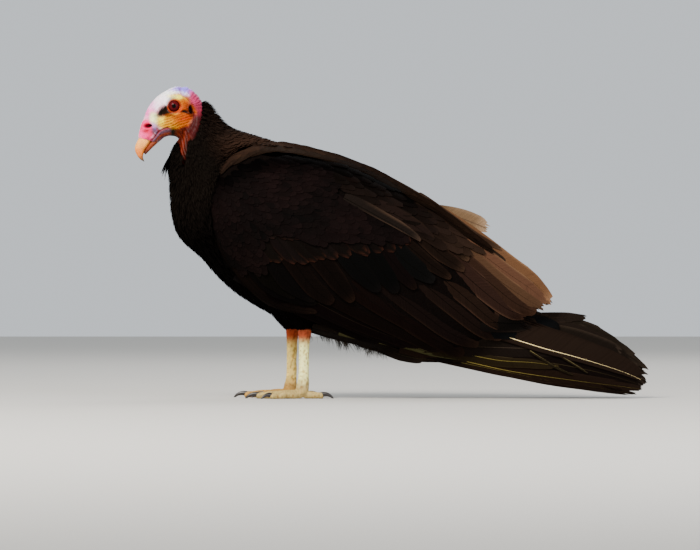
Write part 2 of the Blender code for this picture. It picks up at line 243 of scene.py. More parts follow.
# %% Stations of the flesh: a round form's five numbers, then power, taper and coat depth
HEAD_FLESH = (
    (-260.2, 267.0, -248.0, 265.9, 4.6, 2.2, 0.0, 0.0),
    (-261.4, 268.6, -247.0, 264.6, 6.3, 2.2, 0.0, 0.0),
    (-260.8, 272.5, -244.6, 262.9, 7.0, 2.2, 0.0, 0.0),
    (-259.0, 280.5, -241.4, 263.0, 7.9, 2.2, 0.0, 0.0),
    (-255.4, 289.0, -238.2, 265.4, 9.2, 2.15, 0.0, 0.0),
    (-251.2, 299.0, -235.0, 268.2, 11.4, 2.15, 0.0, 0.0),
    (-243.0, 309.3, -231.0, 269.8, 14.8, 2.15, 0.0, 0.0),
    (-233.3, 316.0, -227.0, 270.0, 18.0, 2.15, 0.0, 0.0),
    (-221.0, 320.7, -222.2, 269.0, 19.4, 2.15, 0.0, 0.0),
    (-210.0, 317.8, -220.0, 267.6, 19.2, 2.1, 0.0, 0.0),
    (-201.8, 311.3, -219.2, 265.6, 18.6, 2.1, 0.0, 0.3),
    (-196.5, 306.4, -220.3, 261.5, 18.8, 2.05, 0.05, 1.6),
)
BODY_COATS = ((2.0, 0.2, 5.0), (2.0, BACK_TAPER, 6.5), (2.0, BACK_TAPER, 7.5)) + ((2.0, BACK_TAPER, 8.0),) * 9
FLESH_STATIONS = HEAD_FLESH + tuple(ring + coat for ring, coat in zip(BODY_STATIONS[1:], BODY_COATS))
HEAD_LAST = len(HEAD_FLESH) - 1
HEAD_RINGS, BODY_RINGS, ROUND_SIDES = ((168, 84, 240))
# Legs: height, how far ahead, half length fore and aft, half width.
SHANK_RINGS = (
    (76.0, 0.4, 6.6, 6.2), (68.0, 0.8, 6.7, 6.2), (58.0, 0.3, 5.6, 5.2), (40.0, 0.0, 5.1, 4.7),
    (22.0, -0.3, 5.4, 5.2), (12.0, -1.5, 6.6, 6.4), (5.0, -2.5, 6.8, 6.6),
)
THIGH_RINGS = (
    (132.0, -15.0, 24.0, 17.0), (110.0, -9.0, 20.0, 15.0), (94.0, -5.0, 16.5, 12.5), (82.0, -2.5, 11.5, 9.5),
    (74.0, -0.2, 7.2, 6.8), (69.0, 0.5, 6.4, 6.0),
)
# Toes: name, degrees turned outwards from straight ahead, length, half thickness at root and end.
TOES = (
    ("inner", -25.0, 35.0, 4.6, 3.3),
    ("middle", 2.0, 49.0, 4.9, 3.4),
    ("outer", 26.0, 39.0, 4.6, 3.2),
    ("hind", 174.0, 20.0, 4.2, 3.2),
)
CLAW_LENGTH = {"inner": 13.5, "middle": 14.0, "outer": 11.5, "hind": 13.0}
TOE_SINK = 0.6               # how far a toe's round would sink into the floor before it is flattened


# %% Meshes straight from arrays
def grid_faces(rows, columns, closed=False):
    """Four-sided faces of a grid of points; closed joins the last column to the first."""
    i, j = np.meshgrid(np.arange(rows - 1), np.arange(columns if closed else columns - 1), indexing="ij")
    here, after = i * columns + j, i * columns + (j + 1) % columns
    return np.stack([here, after, after + columns, here + columns], -1).reshape(-1, 4)


def make_object(name, points, faces):
    """A smooth mesh object from points in millimetres and four-sided faces."""
    mesh = bpy.data.meshes.new(name)
    mesh.vertices.add(len(points))
    mesh.vertices.foreach_set("co", (np.asarray(points) * MM).astype(np.float32).ravel())
    mesh.loops.add(faces.size)
    mesh.loops.foreach_set("vertex_index", faces.astype(np.int32).ravel())
    mesh.polygons.add(len(faces))
    mesh.polygons.foreach_set("loop_start", np.arange(0, faces.size, 4, dtype=np.int32))
    mesh.update(calc_edges=True)
    mesh.validate()
    smooth_faces(mesh)
    ob = bpy.data.objects.new(name, mesh)
    bpy.context.scene.collection.objects.link(ob)
    return ob


def smooth_faces(mesh):
    mesh.polygons.foreach_set("use_smooth", np.ones(len(mesh.polygons), bool))


def loft(name, points, rings, sides):
    """A closed tube from rings of points: its ends are filled and its faces turned outwards."""
    ob = make_object(name, points, grid_faces(rings, sides, closed=True))
    bm = bmesh.new()
    bm.from_mesh(ob.data)
    bmesh.ops.holes_fill(bm, edges=[e for e in bm.edges if e.is_boundary], sides=0)
    bmesh.ops.recalc_face_normals(bm, faces=bm.faces)
    bm.to_mesh(ob.data)
    bm.free()
    return ob


def vectors_of(mesh, kind):
    """Every point's place (co) or its outward direction (normal), as rows of three numbers."""
    flat = np.empty(len(mesh.vertices) * 3, np.float32)
    mesh.vertices.foreach_get(kind, flat)
    return flat.reshape(-1, 3).astype(float)


def set_points(mesh, points):
    mesh.vertices.foreach_set("co", (points * MM).astype(np.float32).ravel())
    mesh.update()


def modified(ob, **modifiers):
    """Adds modifiers, takes the result as the object's own mesh and drops them."""
    for kind, settings in modifiers.items():
        modifier = ob.modifiers.new(kind, kind)
        for setting, value in settings.items():
            setattr(modifier, setting, value)
    bpy.context.view_layer.update()
    done = bpy.data.meshes.new_from_object(ob.evaluated_get(bpy.context.evaluated_depsgraph_get()))
    ob.modifiers.clear()
    ob.data = done
    return ob


def fuse(target, other):
    modified(target, BOOLEAN={"operation": "UNION", "solver": "EXACT", "object": other})
    bpy.data.objects.remove(other)


# %% The long loft of head, neck and body
share_list = np.concatenate([
    np.linspace(0, HEAD_LAST, HEAD_RINGS, endpoint=False),
    np.linspace(HEAD_LAST, len(FLESH_STATIONS) - 1, BODY_RINGS)]) / (len(FLESH_STATIONS) - 1)
turns = np.linspace(0, 2 * np.pi, ROUND_SIDES, endpoint=False)
grid_share, grid_turn = np.meshgrid(share_list, turns, indexing="ij")
flesh_points = round_form(FLESH_STATIONS, grid_share.ravel(), grid_turn.ravel())
skin = loft("skin", flesh_points, len(share_list), ROUND_SIDES)
print("flesh loft:", len(skin.data.vertices), "points")

# %% [markdown]
# ## Wings' flesh and legs, grown onto the loft
#
# A closed wing is mostly feather, over an arm that lies against the flank. The arm's blade is part of the
# same skin, five millimetres inside the wing's outline. The legs are made finer than the body because
# their scales are bare: thigh, shank and toes are fused by a voxel remesh, which also rounds the webs
# between the toes as real skin does. A Boolean union then gives one closed surface.

# %% The arms
ARM_RINGS, ARM_STEPS, ARM_INSET = 26, 18, 5.0
across = np.linspace(0.0, 1.0, ARM_STEPS) * 0.84 + 0.08
for side_name, side in SIDES.items():
    rings = []
    for share in np.linspace(0.06, 0.8, ARM_RINGS):
        face, back = (blade_form(WING_STATIONS, side, np.full(ARM_STEPS, share), across, depth)
                      for depth in (0.0, 1.0))
        face[:, 1] -= side * ARM_INSET
        back[:, 1] += side
        back[:, 1] = np.where(side * face[:, 1] - side * back[:, 1] < 1.0, face[:, 1] - side, back[:, 1])
        rings.append(np.concatenate([face, back[::-1]]))
    fuse(skin, loft("arm_" + side_name, np.concatenate(rings), ARM_RINGS, ARM_STEPS * 2))
print("with arms:", len(skin.data.vertices), "points")


# %% The legs
def upright_tube(rings, count, sides, x, y):
    share, turn = evenly_round(count, sides)
    height, ahead, fore, half = along(rings, share).T
    return np.stack([x + ahead + fore * np.cos(turn), y + half * np.sin(turn), height], 1)


def toe_line(toe, share):
    """Middle of a toe in the foot's own frame, and its half thickness."""
    name, turn, length, root, end = toe
    reach = length * share - 2.0 * (1.0 - share)
    half = root + (end - root) * share
    arch = 2.4 * np.sin(np.pi * np.minimum(share * 1.15, 1.0)) if name != "hind" else 1.2
    sag = np.where(share > 0.12, half - TOE_SINK, half + 1.5)
    angle = math.radians(turn)
    return np.stack([-reach * math.cos(angle), reach * math.sin(angle), sag + 0.25 * arch], -1), half


TOE_RINGS, TOE_SIDES = 40, 20


def toe_tube(toe, x, y, side):
    share, turn = evenly_round(TOE_RINGS, TOE_SIDES)
    middle, half = toe_line(toe, share)
    joints = 3 if toe[0] != "hind" else 2
    pad = 1 + 0.10 * np.cos(2 * np.pi * share * joints) * np.where(np.cos(turn) < 0.3, 1.3, 0.5)
    pad = pad * np.sqrt(np.clip((1.03 - share) / 0.09, 0.02, 1))
    angle = math.radians(toe[1])
    aside = half * pad * np.sin(turn)
    offset = np.stack([aside * math.sin(angle), aside * math.cos(angle), half * pad * np.cos(turn)], -1)
    points = middle + offset
    return np.stack([x + points[:, 0], y + side * points[:, 1], points[:, 2]], 1)


for side_name, side in SIDES.items():
    x, y = FOOT_X[side_name], side * LEG_OUT
    leg = loft("leg", upright_tube(THIGH_RINGS, 30, 40, x, y), 30, 40)
    fuse(leg, loft("shank", upright_tube(SHANK_RINGS, 60, 32, x, y), 60, 32))
    for toe in TOES:
        fuse(leg, loft("toe", toe_tube(toe, x, y, side), TOE_RINGS, TOE_SIDES))
    modified(leg, REMESH={"mode": "VOXEL", "voxel_size": (0.75 * MM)})
    modified(leg, SMOOTH={"factor": 0.6, "iterations": 4})
    points = vectors_of(leg.data, "co") / MM
    points[:, 2] = np.maximum(points[:, 2], 0.02)
    set_points(leg.data, points)
    fuse(skin, leg)
print("whole skin:", len(skin.data.vertices), "points,", len(skin.data.polygons), "faces")

# %% [markdown]
# ## The lie of the land on a bare head
#
# A vulture's head has no feathers to hide behind: lids, ear, nostril, gape and folds are all real relief.
# Each feature is a soft-edged ellipse or a band along a curve, seen from the side, and it moves the skin
# along its own normal. Sums of sines with random directions serve as a smooth noise that keeps the
# wrinkles from looking ruled.

# %% Soft masks on the side of the head
NOISE_WAVES = 7


def soft_noise(points, scale, seed):
    """Smooth noise between about -1 and 1; the scale is the size of its lumps in millimetres."""
    waves = np.random.default_rng(seed)
    total = np.zeros(len(points))
    warp = points + 0.35 * scale * np.sin(points[:, [1, 2, 0]] * (2.1 / scale) + seed)
    for _ in range(NOISE_WAVES):
        direction = unit(waves.normal(size=3)) * waves.uniform(0.6, 1.6)
        total += np.sin(warp @ direction * (2 * np.pi / scale / 2) + waves.uniform(0, 2 * np.pi))
    return total / (0.55 * NOISE_WAVES)


def spot(points, place, radii, degrees=0.0, soft=0.5):
    """1 in the middle of a tilted ellipse on the bird's side, fading to 0 at its edge."""
    a = math.radians(degrees)
    x, z = points[:, 0] - place[0], points[:, 2] - place[1]
    u = (x * math.cos(a) + z * math.sin(a)) / radii[0]
    v = (-x * math.sin(a) + z * math.cos(a)) / radii[1]
    return 1 - smooth_step(1 - soft, 1 + soft, np.hypot(u, v))


def band(points, curve, width, count=60):
    """Distance from a curve in the side view, as a share of a width, and how far along it each point is."""
    line = along(curve, np.linspace(0, 1, count))
    best = np.full(len(points), 1e9)
    where = np.zeros(len(points))
    for k in range(count - 1):
        span = line[k + 1] - line[k]
        rel = points[:, [0, 2]] - line[k]
        t = np.clip(rel @ span / max(span @ span, 1e-9), 0, 1)
        gap = rel - t[:, None] * span
        far = np.hypot(gap[:, 0], gap[:, 1])
        near = far < best
        best[near], where[near] = far[near], (k + t[near]) / (count - 1)
    return best / width, where


def ridge(distance, width):
    """A soft ridge: 1 at no distance, a third of that at one width, then nothing."""
    return np.exp(-(distance / width) ** 2)


def folds(points, place, step, wander, scale, seed):
    """Parallel folds one step apart that wander with the noise, from -1 to 1."""
    return np.sin(place * 2 * np.pi / step + wander * soft_noise(points, scale, seed))


CHIN_Z = 238                 # nothing below this height belongs to the head or the bare throat
skin_points = vectors_of(skin.data, "co") / MM
skin_normals = vectors_of(skin.data, "normal")
skin_x, skin_y, skin_z = skin_points.T
on_head = smooth_step(-188, -200, skin_x - (skin_z - 285) * 0.25) * (skin_z > CHIN_Z)
print("points on the head:", int((on_head > 0.5).sum()))

# %% Where the features are, x and z in millimetres
EYE = (EYE_PLACE[0], EYE_PLACE[2])
GAPE = ((-229.4, 278.3), (-234.5, 277.2), (-238.5, 275.4), (-241.5, 272.4), (-243.6, 269.4), (-247.5, 265.4))
NAPE_FOLD = ((-213.0, 317.0), (-204.5, 311.0), (-199.3, 302.5), (-198.2, 292.0), (-199.2, 281.0),
             (-205.5, 270.0))
EAR = (-206.6, 296.4)
NOSTRIL = (-250.9, 280.0)
BROW_LID = ((-231.6, 302.5), (-229.0, 307.3), (-224.0, 309.3), (-218.2, 307.4), (-214.5, 303.6))
CHEEK = (-221.0, 286.5)
WRINKLE_SLOPE = math.radians(19.5)


def head_relief(p, n):
    """How far each point of the head moves along its normal, in millimetres."""
    x, y, z = p.T
    # Eye opening, then lids that hug the ball, then a shallow hollow round them.
    eye_far = np.hypot(x - EYE[0], z - EYE[1])
    opening = 5.35 + 0.15 * np.sin(np.arctan2(z - EYE[1], x - EYE[0]) * 2 + 0.6)
    lift = -6.0 * smooth_step(opening + 0.45, opening - 0.5, eye_far)
    lift -= 0.55 * smooth_step(9.0, 6.2, eye_far)
    lift += 0.55 * ridge(eye_far - opening - 0.95, 0.62)
    lift -= 0.35 * ridge(eye_far - opening - 2.35, 0.5)
    far, where = band(p, BROW_LID, 1.5)
    lift += 0.9 * ridge(far, 1) * np.sin(np.pi * np.clip(where, 0.02, 0.98))
    lift -= 1.3 * spot(p, (-236.2, 294.8), (4.6, 6.0), -40, 0.6)
    lift -= 0.45 * spot(p, (-212.5, 294.6), (6.5, 1.3), 4, 0.5)
    # The ear: a deep slit with a lip behind it.
    lift -= 3.6 * spot(p, EAR, (1.75, 3.7), 14, 0.35)
    lift += 0.8 * ridge(np.hypot(x - EAR[0], (z - EAR[1]) / 1.75) - 3.0, 0.8)
    # The gape with its two lips.
    far, where = band(p, GAPE, 1.0)
    lift -= 0.7 * ridge(far, 0.55) * smooth_step(0, 0.06, where)
    lift += 0.4 * ridge(far - 1.7, 0.8)
    # The nostril goes right into the cere, under an arched rim.
    lift -= 3.6 * spot(p, NOSTRIL, (3.5, 1.7), 10, 0.45)
    rim = np.hypot((x - NOSTRIL[0]) / 4.2, (z - NOSTRIL[1] - 0.2) / 2.4)
    lift += 0.75 * ridge(rim - 1.0, 0.28) * smooth_step(-1.8, 1.4, z - NOSTRIL[1])
    lift += 0.35 * ridge(rim - 1.6, 0.25) * smooth_step(1.4, -1.8, z - NOSTRIL[1])
    lift -= 0.45 * spot(p, (-252.5, 273.5), (5.5, 2.0), 8, 0.6)
    lift += 0.5 * spot(p, (-253.5, 276.3), (5.0, 1.3), 14, 0.6)
    lift *= smooth_step(0.3, 0.7, np.abs(n[:, 1]))
    # Wrinkles fan out over the cheek and up behind the eye.
    flank = smooth_step(0.2, 0.6, np.abs(n[:, 1]))
    across = -x * math.sin(WRINKLE_SLOPE) + z * math.cos(WRINKLE_SLOPE)
    wander = 1.5 * soft_noise(p, 7.0, 3)
    cheek = spot(p, CHEEK, (19, 8.5), 14, 0.4)
    lift += 0.30 * cheek * np.sin((across * 2 * np.pi + wander * 2.2) / 2.5) * flank
    lift += 0.22 * cheek * soft_noise(p, 1.5, 11)
    behind_eye = spot(p, (-214.0, 302.5), (11, 8), -20, 0.5)
    lift += 0.20 * behind_eye * np.sin((across * 2 * np.pi + wander * 3) / 2.1) * flank
    # The crown's folds run from front to back; the forehead is smoother.
    crown = smooth_step(300, 314, z) * smooth_step(-240, -224, x)
    lift += 0.34 * crown * folds(p, y, 3.4, 2.2, 9.0, 5)
    lift += 0.25 * crown * folds(p, x + 0.5 * z, 4.2, 2.0, 8.0, 8)
    # The nape fold: a rounded roll, cut by short cross folds.
    far, where = band(p, NAPE_FOLD, 1.0)
    lift += 1.7 * ridge(far, 3.6) - 1.0 * ridge(far - 5.2, 1.3)
    lift += 0.42 * ridge(far, 5.0) * np.sin(where * 2 * np.pi * 15 + 2.0 * soft_noise(p, 6.0, 6))
    # Loose skin under the cheek and down the throat.
    lift += 0.45 * spot(p, (-211, 272), (10, 8), 0, 0.4) * folds(p, x * 0.8 + z * 0.5, 2.9, 1.8, 6.0, 9)
    lift += 0.5 * spot(p, (-215, 255), (7, 14), 0, 0.4) * folds(p, x + 0.3 * z, 3.0, 1.5, 7.0, 10)
    lift += 0.10 * soft_noise(p, 2.6, 21) + 0.05 * soft_noise(p, 1.3, 22)
    return lift


move = head_relief(skin_points, skin_normals) * on_head
print("relief from", round(float(move.min()), 2), "to", round(float(move.max()), 2), "mm")

# %% [markdown]
# ## Scales on the legs
#
# The front of the shank has one column of broad plates and each toe a row of narrow ones; elsewhere the
# skin is beaded. Plates are steps: the height rises slowly along each one and drops at its edge.

# %% Plates on shank and toes
foot_x = np.where(skin_y < 0, FOOT_X["left"], FOOT_X["right"])
is_leg = (skin_z < 76) & (np.abs(np.abs(skin_y) - LEG_OUT) < 30) & (np.abs(skin_x - foot_x) < 60)
foot_y = np.where(skin_y < 0, -LEG_OUT, LEG_OUT)
outward = (skin_y - foot_y) * np.sign(foot_y)
reach = np.hypot(foot_x - skin_x, outward)
low_leg = is_leg & (skin_z < 70)


def saw(place):
    share = place % 1.0
    return share - 1.6 * smooth_step(0.86, 1.0, share)


shank_part = smooth_step(9, 13, skin_z) * low_leg
front = smooth_step(0.1, 0.6, -skin_normals[:, 0])
toe_part = smooth_step(13, 9, skin_z) * low_leg * smooth_step(5, 9, reach)
plates = 0.34 * shank_part * front * saw(-skin_z / 4.4 + 0.25 * outward / 6)
beads = 0.20 * shank_part * (1 - front) * soft_noise(skin_points, 2.2, 31)
toe_plates = 0.32 * toe_part * saw(reach / 2.7) * smooth_step(0.2, 0.6, skin_normals[:, 2])
pads = 0.14 * toe_part * soft_noise(skin_points, 1.8, 32) * smooth_step(0.3, -0.1, skin_normals[:, 2])
move = move + plates + beads + toe_plates + pads * (skin_z > 1)
skin_new = skin_points + skin_normals * move[:, None]
skin_new[:, 2] = np.maximum(skin_new[:, 2], 0.0)
set_points(skin.data, skin_new)
print("lowest skin point:", round(float(skin_new[:, 2].min()), 3), "mm")

# %% [markdown]
# ## Painting the skin
#
# The colours that give this vulture its name lie in soft-edged patches: yellow to orange on the cheek and
# behind the eye, white to pink on brow and crown, blue-violet before the gape, deep maroon under the
# nape. Each patch is painted once, in order, with edges that wander with the noise, into a colour
# attribute on the skin. Some patches are painted shade: a shadow under the cheek, darker red in the fold
# under the nostril, and the insides of the ear slit and the nostril. Valleys between wrinkles are painted
# darker and redder, as painted shade in the creases.

# %% Patches of colour: place, radii, degrees, softness, colour, strength
WIDE_PATCHES = (
    ((-225.0, 314.0), (34, 14), 0, 0.5, "FCF9FB", 1.0),       # white forehead and crown
    ((-246.0, 299.0), (10, 14), -58, 0.5, "FFE2F4", 1.0),
    ((-249.5, 293.0), (6.5, 6.5), -70, 0.6, "FF60B8", 0.9),   # pink above the cere
    ((-248.0, 302.5), (5.0, 5), 0, 0.7, "FFA0DC", 0.8),
    ((-211.0, 270.0), (22, 15.0), 0, 0.25, "541B12", 1.0),    # dark maroon behind the jaw
    ((-224.0, 273.2), (10.0, 4.4), 4, 0.4, "1E160C", 1.0),    # painted shadow under the cheek, olive black
)
SIDE_PATCHES = (
    ((-253.5, 276.0), (9.5, 11.5), 0, 0.25, "F4266E", 1.0),   # the cere
    ((-257.5, 272.0), (4, 7), -70, 0.6, "FF4A96", 0.8),
    ((-250.5, 284.2), (6.0, 2.0), 14, 0.5, "FF4C9C", 0.8),
    ((-252.5, 276.0), (4.6, 1.6), 10, 0.7, "D8183C", 0.85),   # red fold under the nostril, its red darkened by painted shade in the fold
    ((-249.5, 271.0), (1.6, 4.6), -24, 0.6, "E02A58", 0.6),
    ((-252.0, 281.7), (4.4, 1.7), 14, 0.5, "CC1636", 0.85),
    ((-250.5, 265.5), (4.0, 4.0), 0, 0.5, "C4305E", 1.0),
    ((-243.6, 287.5), (5.0, 6.4), 30, 0.5, "F8F9B4", 1.0),    # greenish white before the cheek
    ((-243.0, 276.5), (4.6, 4.4), -35, 0.45, "64507C", 1.0),  # blue-violet at the gape
    ((-245.0, 280.5), (3.2, 2.6), -35, 0.6, "B48CC0", 0.8),
    ((-243.8, 270.8), (4.2, 3.0), -50, 0.5, "7A3C58", 0.9),
    ((-238.5, 269.0), (10.5, 4.0), -38, 0.3, "6A4658", 1.0),  # the mandible's band
    ((-236.5, 272.6), (9.0, 1.5), -38, 0.5, "8C2C22", 0.9),
    ((-238.0, 265.2), (9.5, 1.4), -40, 0.5, "96402A", 0.9),
    ((-239.5, 268.6), (6.5, 1.2), -40, 0.6, "8C7C96", 0.7),
    ((-214.0, 301.5), (13.5, 9.5), -22, 0.3, "A65E00", 1.0),  # above and behind the eye
    ((-209.5, 299.5), (8.5, 9.0), -30, 0.7, "962C00", 1.0),
    ((-214.5, 305.2), (12.5, 6.0), -24, 0.45, "B06C00", 1.0),
    ((-211.0, 300.5), (7.0, 5.0), -30, 0.7, "983A00", 0.9),
    ((-223.0, 309.8), (7.5, 2.4), -6, 0.7, "FFF050", 0.9),
    ((-222.5, 286.0), (19.5, 8.4), 12, 0.22, "B47A00", 1.0),  # the cheek
    ((-231.5, 284.0), (9.0, 6.0), 10, 0.6, "CC8C00", 0.9),
    ((-237.5, 286.5), (3.5, 4.5), 10, 0.7, "FFE830", 0.7),
    ((-211.5, 288.5), (12.0, 7.0), 28, 0.7, "A23800", 1.0),
    ((-219.0, 290.5), (11.0, 1.8), 16, 0.7, "9E4400", 0.8),
    ((-222.0, 286.8), (12.0, 0.8), 17, 0.7, "A04A00", 0.7),
    ((-220.0, 283.0), (13.0, 0.8), 17, 0.7, "A65400", 0.7),
    ((-214.0, 280.0), (8.0, 1.2), 24, 0.7, "9A4204", 0.7),
    ((-210.5, 294.2), (8.5, 2.1), -5, 0.45, "1C0A04", 1.0),   # dark line from eye to ear
    ((-235.0, 295.4), (4.5, 9.4), -55, 0.45, "100B05", 1.0),  # olive-black lore
    ((-231.0, 292.6), (5.0, 3.4), -20, 0.5, "1E1006", 1.0),
    ((-229.0, 290.8), (6.5, 1.5), -4, 0.6, "7A3A04", 0.9),
)
CROWN_PATCHES = (
    ((-215.0, 317.0), (10, 3.6), -14, 0.7, "6A50D8", 0.9),    # violet streaks on the hind crown
    ((-206.5, 312.5), (5, 3.4), -50, 0.7, "B85CC0", 0.8),
    ((-201.0, 308.0), (7.0, 9.0), 20, 0.6, "A83A68", 0.9),    # the nape, seen from behind
)
NAPE_PATCHES = (
    ((-226.5, 318.5), (7, 2.2), -4, 0.8, "8C70E0", 0.6),
    ((-202.6, 304.5), (3.8, 9.5), 24, 0.4, "A83058", 1.0),    # the nape roll, pink above, maroon below
    ((-200.2, 293.0), (4.4, 9.5), 0, 0.5, "84263A", 1.0),
    ((-201.6, 281.0), (4.8, 9.5), -14, 0.5, "3C1010", 1.0),
    ((-207.0, 271.0), (8.0, 7.0), -20, 0.6, "40100C", 1.0),
    ((-206.6, 296.4), (4.6, 6.4), 14, 0.5, "5A1E06", 0.9),    # round the ear
    ((-203.4, 297.0), (1.5, 5.8), 14, 0.5, "A44204", 0.8),
    ((-214.0, 269.0), (8.0, 5.0), -30, 0.7, "8A2C0A", 0.9),
    ((-201.5, 280.0), (5.0, 12.0), -12, 0.6, "360E0E", 0.9),
    ((-206.0, 270.5), (9.0, 6.5), -20, 0.6, "3A0E0E", 0.9),
    ((-214.5, 268.5), (7.0, 3.5), -10, 0.7, "6A2208", 0.8),
    ((-216.4, 257.0), (6.5, 19.0), -8, 0.3, "3A0D03", 1.0),   # bare strip down the throat
    ((-214.6, 261.0), (1.3, 12.0), -8, 0.6, "742206", 0.7),
    ((-217.6, 255.0), (1.2, 10.0), -8, 0.6, "601A06", 0.6),
)
colours = np.tile(to_linear("1A0E0C"), (len(skin_points), 1))
whole_head = on_head > 0
colours[whole_head] = to_linear("F4E6EA")
colours[whole_head & (skin_x > -202.5)] = to_linear("7A2838")
colours[whole_head & (skin_z < 268) & (skin_x > -226)] = to_linear("4A160C")
side_of_head = smooth_step(0.12, 0.45, np.abs(skin_normals[:, 1]))
coarse_x, coarse_z, fine_x, fine_z = (soft_noise(skin_points, scale, seed)
                                      for scale, seed in ((6.0, 41), (6.0, 42), (2.0, 43), (2.0, 44)))
level = np.zeros(len(skin_points))
wandered = (skin_points + 0.9 * np.stack([coarse_x, level, coarse_z], 1)
            + 0.35 * np.stack([fine_x, level, fine_z], 1))
for patches, weight in ((WIDE_PATCHES, 1.0), (SIDE_PATCHES, side_of_head), (CROWN_PATCHES, 1.0),
                        (NAPE_PATCHES, np.maximum(side_of_head, 0.85 * (skin_x > -208)))):
    for place, radii, degrees, soft, hex_colour, strength in patches:
        share = spot(wandered, place, radii, degrees, soft) * strength * on_head * weight
        colours = mixed(colours, hex_colour, share[:, None])

# %% The jaw below the gape: violet grey, redder along both edges
gape_x, gape_z = np.array(((-258.0, 256.0),) + GAPE[::-1]).T
under_gape = np.interp(skin_x, gape_x, gape_z) - skin_z
jaw = smooth_step(0.0, 0.6, under_gape) * smooth_step(-226.0, -230.0, skin_x) * on_head
for depth, soft, hex_colour in ((5.0, 9.0, "64343A"), (2.4, 1.7, "705064"), (0.4, 0.8, "86263A"),
                                (5.8, 1.2, "8A3A20")):
    colours = mixed(colours, hex_colour, (jaw * ridge(under_gape - depth, soft))[:, None])

# %% Lids, ear, nostril, gape and valleys, with painted shade in the ear, the nostril and the valleys
eye_far = np.hypot(skin_x - EYE[0], skin_z - EYE[1])
brow_far, brow_where = band(skin_points, BROW_LID, 1.5)
gape_far, gape_where = band(skin_points, GAPE, 1.0)
for share, hex_colour in (
        (smooth_step(8.2, 7.0, eye_far) * side_of_head, "882A0A"),
        (spot(skin_points, (-219.0, 296.0), (2.6, 3.4), -40, 0.7) * smooth_step(5.4, 6.2, eye_far) * 0.8,
         "C44208"),
        (smooth_step(6.2, 5.8, eye_far) * side_of_head, "180604"),
        (0.6 * ridge(brow_far, 1) * side_of_head * smooth_step(0.7, 0.5, brow_where), "8A7C84"),
        # Painted shade: the ear slit and the nostril are painted dark inside their hollows.
        (spot(skin_points, EAR, (2.4, 4.4), 14, 0.35) * side_of_head, "0C0402"),
        (spot(skin_points, NOSTRIL, (3.8, 2.0), 10, 0.6) * side_of_head, "5E0816"),
        (spot(skin_points, (NOSTRIL[0] + 1.0, NOSTRIL[1] + 0.4), (2.0, 0.9), 10, 0.5) * side_of_head,
         "2A0408"),
        (0.75 * ridge(gape_far, 0.5) * smooth_step(0, 0.06, gape_where) * side_of_head, "6A2028")):
    colours = mixed(colours, hex_colour, (np.clip(share, 0, 1) * on_head)[:, None])
# Painted shade: the valleys between wrinkles are painted darker and redder.
crease_shade = 0.75 * (smooth_step(-0.05, -0.55, move) * on_head * (eye_far > 9))[:, None]
colours = mixed(colours, colours * np.array([0.72, 0.42, 0.40]), crease_shade)
speckle = 1 + 0.07 * soft_noise(skin_points, 1.6, 51)[:, None] * on_head[:, None]
colours = np.clip(colours * speckle, 0, 1)

# %% Where the feathers begin: behind the nape and down both edges of the throat's bare strip
REAR_EDGE = ((-199.5, 316.0), (-197.5, 309.0), (-195.8, 302.0), (-195.3, 293.0), (-197.0, 280.3),
             (-202.0, 268.7), (-208.9, 263.8), (-210.0, 255.0), (-211.8, 246.0), (-214.6, 237.0))
FRONT_EDGE = ((-223.0, 268.5), (-219.9, 257.0), (-218.2, 246.0), (-216.4, 237.0))


def bareness(points):
    """1 where head and throat are naked, 0 where feathers grow."""
    rear, front = (along(edge, np.linspace(0, 1, 80))[::-1] for edge in (REAR_EDGE, FRONT_EDGE))
    before_rear = np.interp(points[:, 2], rear[:, 1], rear[:, 0]) - points[:, 0]
    behind_front = points[:, 0] - np.interp(points[:, 2], front[:, 1], front[:, 0])
    bill_side = (points[:, 0] < -230) & (points[:, 2] > 247)
    behind_front = np.where(bill_side | (points[:, 2] > FRONT_EDGE[0][1]), 9.0, behind_front)
    return smooth_step(0.2, 1.4, np.minimum(before_rear, behind_front)) * (points[:, 2] > CHIN_Z)


# %% Legs: chalky cream shanks, browner toes, pinker heel, and painted shade on the far leg
FAR_LEG_SHADE = np.array([0.95, 0.72, 0.50])
bare = bareness(skin_points)[:, None]
# Painted shade: skin under the feathers is painted nearly black, so that the gaps between feathers look
# shaded.
colours = mixed(colours, "0A0706", 1 - bare)
leg_share = smooth_step(76, 71, skin_z)[:, None] * is_leg[:, None]
cream, low_tan, toe_tan, heel = (to_linear(h) for h in ("FFFAA8", "94704A", "B49C62", "B05030"))
leg_colour = cream + (low_tan - cream) * smooth_step(26, 10, skin_z)[:, None] * 0.8
leg_colour = leg_colour + (heel - leg_colour) * smooth_step(51, 65, skin_z)[:, None]
leg_colour = leg_colour + (toe_tan - leg_colour) * smooth_step(12, 8, skin_z)[:, None]
leg_colour = leg_colour * (0.96 + 0.12 * soft_noise(skin_points, 5.0, 61))[:, None]
crease = smooth_step(0.02, -0.14, plates + toe_plates + beads + pads)[:, None]
leg_colour = leg_colour * (1 - crease * np.array([0.40, 0.5, 0.6]))
# Painted shade: the far leg is painted darker and browner than the near one.
leg_colour = np.where(skin_y[:, None] > 0, leg_colour * FAR_LEG_SHADE, leg_colour)
colours = mixed(colours, np.clip(leg_colour, 0, 1), leg_share)


def store_colour(mesh, name, values):
    layer = mesh.attributes.new(name, "FLOAT_COLOR", "POINT")
    rows = np.pad(values, ((0, 0), (0, 1)), constant_values=1.0)
    layer.data.foreach_set("color", rows.astype(np.float32).ravel())


store_colour(skin.data, "skin_colour", colours)
store_colour(skin.data, "nakedness", np.repeat(np.clip(bare + leg_share, 0, 1), 3, 1))
print("painted", len(colours), "points of skin")

# %% [markdown]
# ## Finishes
#
# One small function adds a shader node with its settings and its links, so each finish below reads as a
# list of what feeds what. Most finishes here share their last step: a pattern that lightens and darkens
# the base colour, and a height that roughens the surface.

